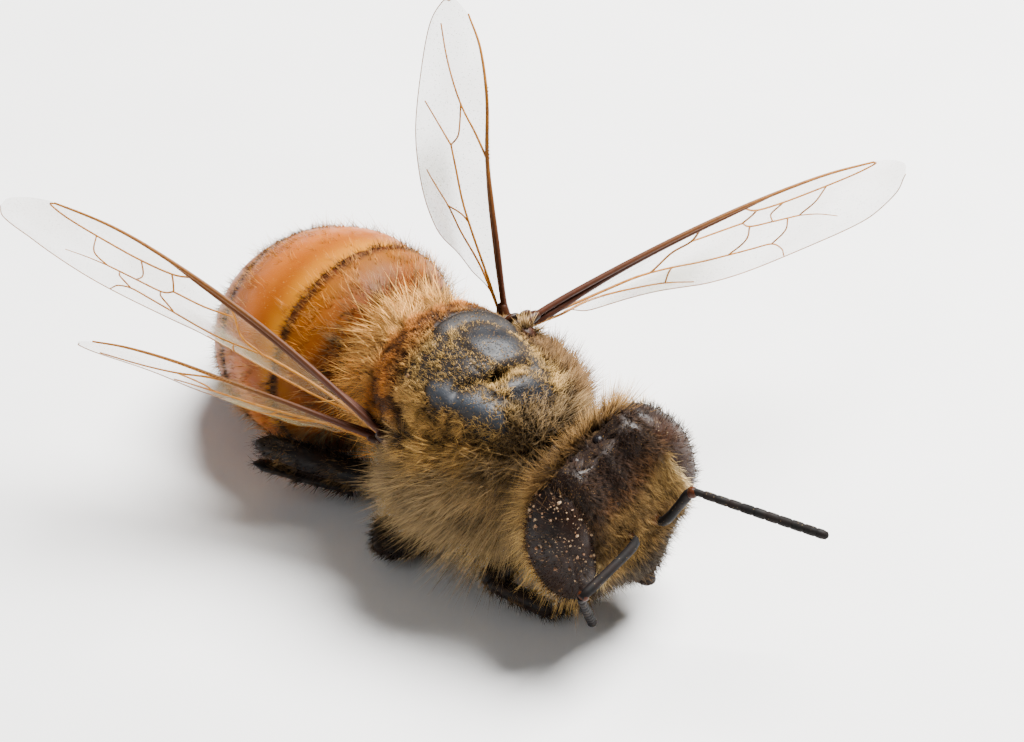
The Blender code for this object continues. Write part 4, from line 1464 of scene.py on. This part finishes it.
# Joints of each leg in millimetres, from the point on the floor under the thorax's centre:
# hip, end of the hip piece, knee, heel and the end of the foot.
LEGS = {
    "fore_left": (
        (1.3, -1.5, 0.85), (1.75, -1.9, 0.75), (3.0, -2.5, 1.7), (3.2, -0.9, 0.3), (3.3, 0.2, 0.24),
    ),
    "mid_left": ((1.3, 0.1, 0.85), (1.8, 0.35, 0.75), (3.1, 1.1, 1.5), (3.9, 2.2, 0.3), (4.0, 3.9, 0.24)),
    "hind_left": ((1.25, 1.3, 0.85), (1.65, 1.6, 0.8), (2.9, 3.2, 1.35), (3.3, 5.2, 0.42), (2.8, 7.1, 0.24)),
    "fore_right": (
        (0.1, -1.4, 0.7), (-0.3, -1.6, 0.62), (-1.6, -2.15, 1.02), (-0.7, -3.1, 0.3), (0.7, -3.0, 0.24),
    ),
    "mid_right": (
        (0.1, -0.1, 0.62), (-0.35, 0.0, 0.475), (-2.15, 0.4, 0.58), (-1.2, 1.3, 0.32), (0.1, 0.7, 0.24),
    ),
    "hind_right": (
        (0.1, 1.3, 0.62), (-0.4, 1.5, 0.6), (-2.65, 3.7, 1.8), (-0.9, 2.6, 0.42), (0.9, 2.7, 0.24),
    ),
}
FOLD_SHIFT = {"hind_right": Vector((0.0, 0.1, -0.62)) * MM}
# Radii of each leg piece along its length, in millimetres, and the shin's thickness over its width.
LEG_SHAPES = {
    "fore": {"coxa": (0.26, 0.3, 0.24), "femur": (0.2, 0.27, 0.17), "tibia": (0.16, 0.21, 0.2), "flat": 0.9},
    "mid": {
        "coxa": (0.26, 0.3, 0.24), "femur": (0.21, 0.28, 0.18),
        "tibia": (0.16, 0.25, 0.24), "flat": 0.75,
    },
    "hind": {
        "coxa": (0.28, 0.31, 0.25), "femur": (0.22, 0.3, 0.2),
        "tibia": (0.17, 0.34, 0.46), "flat": 0.42,
    },
}
FOOT_RADII = {"fore": 0.17, "mid": 0.19, "hind": 0.3}
FOOT_PIECES = (0.0, 0.52, 0.64, 0.74, 0.84, 1.0)  # where the five pieces of a foot meet


def leg_points(leg):
    under_thorax = Vector((BODY_X, BODY_Y, 0))
    return [under_thorax + Vector(joint) * MM for joint in LEGS[leg]]


def limb_part(start, end, radii, flat=1.0, sides=16):
    """A limb piece with round ends whose radius passes through the three radii."""
    count = 15
    a, b, c = (radius * MM for radius in radii)
    path, widths = [], []
    for step in range(count):
        t = step / (count - 1)
        radius = a * (1 - t) * (1 - 2 * t) + 4 * b * t * (1 - t) + c * t * (2 * t - 1)
        end_round = math.sqrt(max(1 - max(0.0, 1 - min(t, 1 - t) / 0.07) ** 2, 0.04))
        path.append(start.lerp(end, t))
        widths.append(radius * end_round)
    return tube_along(path, widths, sides, Vector((0.2, 0, 1)), flat)


def foot_parts(kind, start, end):
    """Five foot pieces from heel to tip that get smaller, lying on the floor."""
    wide = FOOT_RADII[kind]
    parts = []
    for index in range(5):
        low, high = FOOT_PIECES[index], FOOT_PIECES[index + 1]
        near = wide * (0.9 if index == 0 else 0.52 - 0.03 * index)
        far = near * (1.05 if index else 0.92)
        first, last = start.lerp(end, low), start.lerp(end, high + 0.01)
        first.z = max(near * MM * (0.7 if index == 0 else 1.0), first.z * (1 - low) * 0.9)
        last.z = far * MM * (0.7 if index == 0 else 1.0)
        parts.append(limb_part(first, last, (near * 0.8, near * 1.05, far), 0.55 if index == 0 else 0.9, 12))
    return parts


def claw_parts(end, along):
    """A pair of curved claws and the pad between them."""
    side = along.cross(Vector((0, 0, 1))).normalized()
    parts = []
    for sign in (-1, 1):
        steps = ((0, 0, 0), (0.09, 0.07, 0.03), (0.19, 0.11, 0.0), (0.24, 0.12, -0.07))
        path = [end + (along * a + side * b * sign + Vector((0, 0, c))) * MM for a, b, c in steps]
        parts.append(tube_along(smooth_path(path, 9), np.linspace(0.035, 0.006, 9) * MM, 8))
    pad = [end, end + along * 0.12 * MM]
    parts.append(limb_part(pad[0], pad[1], (0.05, 0.07, 0.05), 0.8, 10))
    return parts


def feeler_parts(elbow, tip, rings):
    """The lash of a feeler: a short pedicel, then short ring pieces."""
    parts = []
    for index in range(rings):
        low, high = index / rings, (index + 1) / rings
        radius = 0.075 if index == 0 else 0.086 + 0.014 * soft(0.0, 0.5, low)
        path = [elbow.lerp(tip, low + (high - low) * t) for t in (0.0, 0.12, 0.5, 0.88, 1.02)]
        widths = [radius * share * MM for share in (0.82, 0.98, 1.0, 0.99, 0.84)]
        if index == rings - 1:
            widths[-2:] = [radius * 0.8 * MM, radius * 0.3 * MM]
        parts.append(tube_along(path, widths, 14))
    return parts


# ---------------------------------------------------------------------------- operators


class BEE_OT_body_skin(bpy.types.Operator):
    """Model the one skin of thorax, neck and head, with sutures, groove, ridge and face."""

    bl_idname = "bee.body_skin"
    bl_label = "Body skin"

    def execute(self, context):
        thorax = ball_mesh("thorax_form", thorax_shape, STANCE, 7)
        e = unit(to_local(vertex_array(thorax), STANCE) / THORAX_HALF)
        paint(thorax, *thorax_colour(e))
        head = ball_mesh("head_form", head_shape, HEAD_POSE, 7)
        e = unit(to_local(vertex_array(head), HEAD_POSE) / HEAD_HALF)
        paint(head, *head_colour(e))
        start = STANCE @ (Vector((0, -1.9, -0.5)) * MM)
        end = HEAD_POSE @ (Vector((0, 0.4, 0.0)) * MM)
        neck = mesh_from("neck_form", limb_part(start, end, (0.75, 0.5, 0.62), 1.0, 32), 180.0)
        paint(neck, np.tile(UNDERFUR, (len(neck.vertices), 1)), np.zeros(len(neck.vertices)))
        whole = bmesh.new()
        for part in (thorax, head, neck):
            whole.from_mesh(part)
        mesh = bpy.data.meshes.new("body_skin")
        whole.to_mesh(mesh)
        whole.free()
        mesh.shade_smooth()
        nodes = [name for name in frame["nodes"] if name.startswith("thorax_")]
        add_piece("body_skin", mesh, skin_material(), "shell", *nodes, "neck", "head")
        context.scene["bee_forms"] = [thorax.name, head.name]
        return {"FINISHED"}


class BEE_OT_eyes(bpy.types.Operator):
    """Model both compound eyes and the three simple eyes on the crown."""

    bl_idname = "bee.eyes"
    bl_label = "Eyes"

    def execute(self, context):
        for side, sign in (("left", 1), ("right", -1)):
            mesh = ball_mesh(f"eye_{side}_lens", eye_shape(sign), HEAD_POSE, 6)
            places = to_local(vertex_array(mesh), HEAD_POSE)
            front = soft(-0.2, -0.85, places[:, 1] / EYE_HALF[1])[:, None]
            # The left eye's front is painted much warmer and lighter than the right's: painted light; the
            # right eye's slight warm front is its own tint.
            front_tint_with_painted_light = np.array((0.024, 0.009, 0.003) if sign > 0 else (0.009, 0.004, 0.002))
            colour = np.array((0.006, 0.0035, 0.003)) + front_tint_with_painted_light * front
            paint(mesh, colour)
            add_piece(f"eye_{side}_lens", mesh, eye_material(), "eye", f"eye_{side}")
        glossy = cuticle_material("simple eye", (0.006, 0.005, 0.006), (0.012, 0.008, 0.007), 0.24)
        places = {"middle": (-0.08, -0.38, 1.59), "left": (0.26, -0.04, 1.62), "right": (-0.42, -0.04, 1.62)}
        for name, place in places.items():
            def bead(e, place=place):
                return e * np.array((0.12, 0.12, 0.10)) * MM + np.array(place) * MM

            mesh = ball_mesh(f"ocellus_{name}_bead", bead, HEAD_POSE, 4)
            add_piece(f"ocellus_{name}_bead", mesh, glossy, "eye", f"ocellus_{name}")
        return {"FINISHED"}


class BEE_OT_abdomen(bpy.types.Operator):
    """Model the abdomen's six overlapping plates."""

    bl_idname = "bee.abdomen"
    bl_label = "Abdomen plates"

    def execute(self, context):
        last = len(ABDOMEN_JOINTS) - 1
        for number in range(1, last + 1):
            low, high = ABDOMEN_JOINTS[number - 1], ABDOMEN_JOINTS[number]
            tucked = low - (0.02 if number > 1 else 0.0)
            steps = 26
            frames = []
            for step in range(steps + 1):
                t = step / steps
                share = tucked + (high - tucked) * t
                spread = 0.955 + 0.045 * soft(0.0, 0.55, t)
                frames.append(abdomen_frame(share, float(spread)))
            if number < last:
                for inset, back in ((0.988, 0.003), (0.955, 0.0)):
                    frames.append(abdomen_frame(high + back, inset))
            mesh = mesh_from(f"abdomen_plate_{number}", skin_rings(frames, 96), 50.0)
            places = vertex_array(mesh)
            paint(mesh, plate_colour(places))
            mesh.transform(STANCE)
            places = vertex_array(mesh)
            places[:, 2] = np.maximum(places[:, 2], PLATE_REST)
            set_vertices(mesh, places)
            slot = "amber" if number < 4 else "brown_band"
            add_piece(f"abdomen_plate_{number}", mesh, plate_material(), slot, f"abdomen_{number}")
        return {"FINISHED"}


class BEE_OT_wings(bpy.types.Operator):
    """Model the four wings, each a thin pleated membrane with raised veins."""

    bl_idname = "bee.wings"
    bl_label = "Wings"

    def execute(self, context):
        for name in WINGS:
            kind = name[:4]
            length = FOREWING_LENGTH if kind == "fore" else HINDWING_LENGTH
            pose = wing_placement(name)
            membrane = add_piece(
                f"{name}_membrane", membrane_mesh(name, kind, length, pose), membrane_material(), "wing", name
            )
            wall = membrane.modifiers.new("film", "SOLIDIFY")
            wall.thickness = 0.01 * MM
            wall.offset = 0.0
            add_piece(f"{name}_veins", vein_mesh(name, kind, length, pose), vein_material(), "wing")
            parts = []
            for back, across, start, end in HINGE[kind]:
                inner = pose @ (Vector((-back, across, -0.05)) * MM)
                outer = pose @ (Vector((0.28, across * 0.5 + 0.05, 0.0)) * MM)
                parts.append(limb_part(inner, outer, (start, (start + end) * 0.6, end), 0.8, 12))
            for back, across, lift, size in ROOT_PLATES:
                lump = bmesh.new()
                bmesh.ops.create_icosphere(lump, subdivisions=3, radius=size * MM)
                bmesh.ops.scale(lump, verts=lump.verts, vec=Vector((1.2, 0.8, 0.55)))
                place = pose @ Matrix.Translation(Vector((-back, across, lift)) * MM)
                bmesh.ops.transform(lump, matrix=place, verts=lump.verts)
                parts.append(lump)
            add_shape(f"{name}_hinge", join_parts(parts), hinge_cuticle(), "shell")
        return {"FINISHED"}


class BEE_OT_legs(bpy.types.Operator):
    """Model the six legs with their five-pieced feet and claws."""

    bl_idname = "bee.legs"
    bl_label = "Legs"

    def execute(self, context):
        black = black_cuticle()
        claw = red_cuticle()
        for leg in LEGS:
            points = leg_points(leg)
            kind = leg.split("_")[0]
            shapes = LEG_SHAPES[kind]
            for index, part in enumerate(("coxa", "femur", "tibia")):
                start, end = points[index], points[index + 1]
                flat = shapes["flat"] if part == "tibia" else 1.0
                if part == "tibia":
                    start = start + FOLD_SHIFT.get(leg, Vector())
                name = f"leg_{leg}_{part}"
                add_shape(f"{name}_shell", limb_part(start, end, shapes[part], flat), black, "shell", name)
            name = f"leg_{leg}_tarsus"
            bm = join_parts(foot_parts(kind, points[3], points[4]))
            add_shape(f"{name}_foot", bm, black, "shell", name)
            along = (points[4] - points[3]).normalized()
            along.z = 0
            tip = points[4].copy()
            tip.z = 0.09 * MM
            bm = join_parts(claw_parts(tip - along * 0.22 * MM, along))
            add_shape(f"leg_{leg}_claws", bm, claw, "shell")
        return {"FINISHED"}


class BEE_OT_feelers(bpy.types.Operator):
    """Model the feelers: socket ring, scape, reddish elbow and ringed lash."""

    bl_idname = "bee.feelers"
    bl_label = "Feelers"

    def execute(self, context):
        sockets = {"left": Vector((0.36, -1.16, -0.25)), "right": Vector((-0.5, -1.16, -0.1))}
        elbows = {"left": Vector((0.71, -1.88, 0.70)), "right": Vector((-2.2, -1.25, 0.0))}
        lashes = {"left": Vector((1.2, -2.25, -1.3)), "right": Vector((0.7, 0.98, -2.0))}
        black = cuticle_material("feeler cuticle", (0.004, 0.0035, 0.0035), (0.009, 0.005, 0.004), 0.66)
        red = red_cuticle()
        for side in ("left", "right"):
            socket = sockets[side] * MM
            root = Vector((socket.x * 0.8, -0.86 * MM, socket.z))
            elbow = elbows[side] * MM
            tip = elbow + lashes[side] * MM
            middle = socket.lerp(elbow, 0.5) + Vector((0, -0.06, 0.04)) * MM
            path = [HEAD_POSE @ p for p in smooth_path([root, socket, middle, elbow], 14)]
            widths = [0.07, 0.075, 0.08, 0.09, 0.10, 0.105, 0.105, 0.10, 0.10, 0.10, 0.105, 0.11, 0.105, 0.07]
            bm = tube_along(path, [w * MM for w in widths], 16)
            name = f"antenna_{side}_scape"
            add_shape(f"{name}_rod", bm, black, "shell", name)
            bm = join_parts(feeler_parts(HEAD_POSE @ elbow, HEAD_POSE @ tip, 11))
            name = f"antenna_{side}_flagellum"
            add_shape(f"{name}_rings", bm, black, "shell", name, smooth_angle=60.0)
            start, end = HEAD_POSE @ elbow.lerp(socket, 0.08), HEAD_POSE @ elbow.lerp(tip, 0.04)
            knob = limb_part(start, end, (0.10, 0.125, 0.09), 1.0, 14)
            start, end = HEAD_POSE @ root, HEAD_POSE @ root.lerp(socket, 0.6)
            ring = limb_part(start, end, (0.15, 0.14, 0.10), 1.0, 16)
            add_shape(f"antenna_{side}_joints", join_parts([knob, ring]), red, "shell")
        return {"FINISHED"}


class BEE_OT_mouthparts(bpy.types.Operator):
    """Model the upper lip, mandibles, tongue sheath and wing scales."""

    bl_idname = "bee.mouthparts"
    bl_label = "Mouthparts"

    def execute(self, context):
        black = black_cuticle()
        brown = cuticle_material("mouth cuticle", (0.018, 0.008, 0.004), (0.008, 0.005, 0.004), 0.5)
        for side, sign in (("left", 1), ("right", -1)):
            path = [(0.40, -0.34, -1.24), (0.38, -0.44, -1.44), (0.25, -0.50, -1.64), (0.06, -0.50, -1.76)]
            path = [HEAD_POSE @ (Vector((x * sign, y, z)) * MM) for x, y, z in path]
            widths = np.interp(np.linspace(0, 1, 16), (0, 0.5, 0.9, 1), (0.16, 0.11, 0.12, 0.05))
            bm = tube_along(smooth_path(path, 16), widths * MM, 14, Vector((0, 1, 0)), 0.6)
            name = f"mandible_{side}"
            add_shape(f"{name}_blade", bm, brown, "shell", name)
            root = to_local(np.array([wing_root(f"forewing_{side}")]), STANCE)
            away = unit((root + np.array((0.0, -0.42, 0.16)) * MM) / THORAX_HALF)
            centre = Vector((away * THORAX_HALF)[0] * 1.02)
            lean = Vector((away / THORAX_HALF)[0]).to_track_quat("Z", "Y").to_matrix().to_4x4()
            pose = STANCE @ Matrix.Translation(centre) @ lean

            def dome(e):
                places = e * np.array((0.21, 0.28, 0.12)) * MM
                places[:, 2] += 0.03 * MM * soft(0.9, 0.2, np.hypot(e[:, 0], e[:, 1]))
                return places

            mesh = ball_mesh(f"tegula_{side}_scale", dome, pose, 5)
            add_piece(f"tegula_{side}_scale", mesh, hinge_cuticle(), "fur_buff", f"tegula_{side}")
        path = [(0, -0.45, -1.7), (0, -0.48, -2.0), (0, -0.1, -2.1), (0, 0.3, -2.08), (0, 0.5, -2.0)]
        path = [HEAD_POSE @ (Vector(p) * MM) for p in path]
        bm = tube_along(smooth_path(path, 18), np.linspace(0.17, 0.09, 18) * MM, 14)
        add_shape("proboscis_sheath", bm, brown, "brown_band", "proboscis")

        def lip(e):
            places = e * np.array((0.40, 0.15, 0.20)) * MM
            return places + np.array((0.0, -0.60, -1.50)) * MM

        mesh = ball_mesh("upper_lip", lip, HEAD_POSE, 5)
        add_piece("upper_lip", mesh, black, "shell")
        return {"FINISHED"}


class BEE_OT_coat(bpy.types.Operator):
    """Grow the fur of thorax, head, abdomen, eyes and wing scales as solid hairs."""

    bl_idname = "bee.coat"
    bl_label = "Fur"

    def execute(self, context):
        coat = context.scene.bee_coat
        thorax, head = (bpy.data.meshes[name] for name in context.scene["bee_forms"])
        counts = {
            "left": coat.flank_tufts * 3 // 4, "right": coat.flank_tufts, "rear": coat.flank_tufts,
            "front": coat.flank_tufts, "back": coat.back_tufts, "plate": coat.stubble_tufts,
        }
        shapes = {"back": (5, 3), "plate": (4, 2)}  # hairs in a tuft and points along a hair
        for seed, (part, count) in enumerate(counts.items(), 11):
            grow_coat(
                f"coat_thorax_{part}", thorax, STANCE, count, seed, thorax_density(part), thorax_style,
                THORAX_HALF[1], *shapes.get(part, (12, 3)),
            )
        for seed, (name, part, count) in enumerate(
            (("coat_face", "face", coat.head_tufts), ("coat_nape", "rear", coat.head_tufts // 2)), 31
        ):
            density = head_density(part)
            grow_coat(name, head, HEAD_POSE, count, seed, density, head_style, HEAD_HALF[1], 5, 3)
        grow_coat_abdomen(coat.abdomen_tufts)
        grow_coat_eyes()
        grow_coat_scales()
        return {"FINISHED"}


def grow_coat_abdomen(count):
    numbers = range(1, len(ABDOMEN_JOINTS))
    form = joined_form("abdomen_form", [bpy.data.objects[f"abdomen_plate_{number}"] for number in numbers])
    grow_coat("coat_abdomen", form, STANCE, count, 41, abdomen_density, abdomen_style, 8 * MM, 5, 2, "amber")


def grow_coat_eyes():
    def density(places, normals):
        return (np.linalg.norm(places / (HEAD_HALF - FACE_COAT), axis=1) > 0.9).astype(float)

    def style(places, normals):
        lie = np.tile((0.0, 0.3, 1.0), (len(places), 1))
        return even_style(lie, EYE_HAIR, 70, 0.20, 0.02, gather=0.0, stray=0.16, bend=0.1, radius=0.0055)

    for seed, side in ((42, "left"), (43, "right")):
        form = bpy.data.objects[f"eye_{side}_lens"].data
        grow_coat(f"coat_eye_{side}", form, HEAD_POSE, 1700, seed, density, style, HEAD_HALF[1], 1, 3, "eye")


def grow_coat_scales():
    """Fans of tan hair on the scales that cover the wings' roots."""

    def style(places, normals):
        lie = np.tile((0.0, 0.6, -0.5), (len(places), 1))
        return even_style(lie, SCALE_HAIR, 38, 0.36, 0.04, gather=0.5, stray=0.2, bend=0.2, radius=0.009)

    for seed, side in ((45, "left"), (46, "right")):
        form = bpy.data.objects[f"tegula_{side}_scale"].data
        grow_coat(f"coat_scale_{side}", form, STANCE, 90, seed, evenly, style, THORAX_HALF[1], 5, 3)


class BEE_OT_leg_hair(bpy.types.Operator):
    """Grow bristles and pale hair on the legs, the mandibles and the upper lip."""

    bl_idname = "bee.leg_hair"
    bl_label = "Leg hair"

    def execute(self, context):
        hairy = [
            piece for piece in bpy.data.objects
            if piece.name.startswith(("leg_", "mandible", "upper_lip"))
            and piece.name.endswith(("_shell", "_foot", "_blade", "_lip"))
        ]

        def style(places, normals):
            outward = unit(places - np.array((BODY_X, BODY_Y, 0)))
            pale = soft(0.2, 0.9, np.abs(np.sin(places[:, 0] * 4100) * np.cos(places[:, 1] * 3700)))
            lie = outward * (1, 1, 0) + np.array((0.0, 0.0, -0.35))
            colour = blend_colours(DARK, TAN, pale * 0.55)
            return even_style(lie, colour, 32, 0.24, 0.03, gather=0.1, stray=0.25, bend=0.15, radius=0.007)

        form = joined_form("leg_form", hairy)
        grow_coat("coat_legs", form, STILL, 6500, 44, evenly, style, 9 * MM, 3, 2, "shell")
        return {"FINISHED"}


class BEE_OT_dust(bpy.types.Operator):
    """Scatter pale grains over the right eye and the back."""

    bl_idname = "bee.dust"
    bl_label = "Dust grains"

    def execute(self, context):
        rng = np.random.default_rng(21)

        def on_eye(places, normals):
            local = (places - EYE_PLACE * (-1, 1, 1)) / EYE_HALF
            lit = soft(-0.35, 0.45, local[:, 2])
            return (lit + 0.06) * (local[:, 1] < 0.5)

        def on_back(places, normals):
            e = unit(places / THORAX_HALF)
            return soft(-0.1, 0.3, e[:, 2]) * soft(0.9, 0.3, e[:, 1]) * (1 - 0.7 * bald_mask(e))

        thorax = bpy.data.meshes[context.scene["bee_forms"][0]]
        eye = bpy.data.objects["eye_right_lens"].data
        spots = []
        for form, pose, count, density, size in (
            (eye, HEAD_POSE, 300, on_eye, 0.020),
            (thorax, STANCE, 320, on_back, 0.012),
        ):
            roots, normals = surface_roots(form, pose, count, density, rng)
            sizes = rng.lognormal(0.0, 0.45, count) * size * MM
            spots += list(zip(to_world(roots + normals * sizes[:, None] * 0.5, pose), sizes))
        parts = []
        for place, size in spots:
            bm = bmesh.new()
            bmesh.ops.create_icosphere(bm, subdivisions=1, radius=1.0)
            for vert in bm.verts:
                vert.co *= rng.uniform(0.7, 1.25)
            squeeze = rng.uniform(0.6, 1.2, 3) * size
            bmesh.ops.scale(bm, verts=bm.verts, vec=Vector(squeeze))
            bmesh.ops.translate(bm, verts=bm.verts, vec=Vector(place))
            parts.append(bm)
        add_shape("dust_grains", join_parts(parts), grain_material(), "fur_buff", smooth_angle=20.0)
        return {"FINISHED"}


# ---------------------------------------------------------------------------- stage

CAMERA_AZIMUTH = math.radians(-43.0)
CAMERA_ELEVATION = math.radians(37.0)
CAMERA_DISTANCE = 120 * MM
FRAME_WIDTH = 20.69 * MM  # width of the view at the thorax


def camera_axes():
    back = Vector((
        math.sin(CAMERA_AZIMUTH) * math.cos(CAMERA_ELEVATION),
        -math.cos(CAMERA_AZIMUTH) * math.cos(CAMERA_ELEVATION),
        math.sin(CAMERA_ELEVATION),
    ))
    right = Vector((math.cos(CAMERA_AZIMUTH), math.sin(CAMERA_AZIMUTH), 0))
    return right, back.cross(right), back


def add_area_light(name, place, size, power, colour):
    data = bpy.data.lights.new(name, "AREA")
    data.shape = "DISK"
    data.size = size
    data.energy = power
    data.color = colour
    light = bpy.data.objects.new(name, data)
    bpy.context.scene.collection.objects.link(light)
    light.location = place
    light.rotation_euler = (THORAX_CENTRE - Vector(place)).to_track_quat("-Z", "Y").to_euler()
    return light


class BEE_OT_stage(bpy.types.Operator):
    """Set the pale floor, the soft studio light and the camera."""

    bl_idname = "bee.stage"
    bl_label = "Stage"

    def execute(self, context):
        bm = bmesh.new()
        bmesh.ops.create_grid(bm, x_segments=1, y_segments=1, size=0.6)
        mesh = bpy.data.meshes.new("floor")
        bm.to_mesh(mesh)
        bm.free()
        floor = bpy.data.objects.new("floor", mesh)
        context.scene.collection.objects.link(floor)
        material, tree, shader = start_material("pale floor", 0.6)
        tone = tree.spread(tree.noise(tree.place(), 4 * MM, 3.0), 0.3, 0.7)
        join_sockets(tree, shader, Base_Color=tree.mix(tone, (0.93, 0.93, 0.93), (0.96, 0.96, 0.96)))
        mesh.materials.append(material)

        right, up, back = camera_axes()
        place = THORAX_CENTRE + right * 0.045 - back * 0.045 + Vector((0, 0, 0.13))
        add_area_light("key", place, 0.08, 0.84, (1, 0.985, 0.96))
        place = THORAX_CENTRE - right * 0.08 + back * 0.10 + Vector((0, 0, 0.05))
        add_area_light("fill", place, 0.10, 0.03, (0.95, 0.97, 1))
        world = bpy.data.worlds.new("studio")
        world.use_nodes = True
        world.node_tree.nodes["Background"].inputs["Color"].default_value = (1.0, 1.0, 1.0, 1.0)
        world.node_tree.nodes["Background"].inputs["Strength"].default_value = 0.18
        context.scene.world = world

        data = bpy.data.cameras.new("camera")
        data.sensor_width = 36.0
        data.lens = data.sensor_width * CAMERA_DISTANCE / FRAME_WIDTH
        data.clip_start = 0.005
        data.clip_end = 10.0
        camera = bpy.data.objects.new("camera", data)
        context.scene.collection.objects.link(camera)
        aim = THORAX_CENTRE + (right * 0.788 + up * 0.747) * MM
        axes = Matrix((right, up, back)).transposed().to_4x4()
        camera.matrix_world = Matrix.Translation(aim + back * CAMERA_DISTANCE) @ axes
        context.scene.camera = camera
        return {"FINISHED"}


class BEE_PT_panel(bpy.types.Panel):
    """Lists the steps that build the bee."""

    bl_idname = "BEE_PT_panel"
    bl_label = "Honey Bee"
    bl_space_type = "VIEW_3D"
    bl_region_type = "UI"
    bl_category = "Honey Bee"

    def draw(self, context):
        for group in (context.scene.bee_colours, context.scene.bee_coat):
            for name in group.__annotations__:
                self.layout.prop(group, name)
        for step in STEPS:
            self.layout.operator(step.bl_idname)


STEPS = (
    BEE_OT_stage,
    BEE_OT_body_skin,
    BEE_OT_eyes,
    BEE_OT_abdomen,
    BEE_OT_wings,
    BEE_OT_legs,
    BEE_OT_feelers,
    BEE_OT_mouthparts,
    BEE_OT_coat,
    BEE_OT_leg_hair,
    BEE_OT_dust,
)
CLASSES = (BeeColours, BeeCoat, *STEPS, BEE_PT_panel)


def register():
    for item in CLASSES:
        bpy.utils.register_class(item)
    bpy.types.Scene.bee_colours = bpy.props.PointerProperty(type=BeeColours)
    bpy.types.Scene.bee_coat = bpy.props.PointerProperty(type=BeeCoat)


def unregister():
    del bpy.types.Scene.bee_coat
    del bpy.types.Scene.bee_colours
    for item in reversed(CLASSES):
        bpy.utils.unregister_class(item)


def main():
    register()
    for step in STEPS:
        group, name = step.bl_idname.split(".")
        getattr(getattr(bpy.ops, group), name)()
    for mesh in [mesh for mesh in bpy.data.meshes if mesh.name.endswith("_form")]:
        bpy.data.meshes.remove(mesh)


if __name__ == "__main__":
    main()
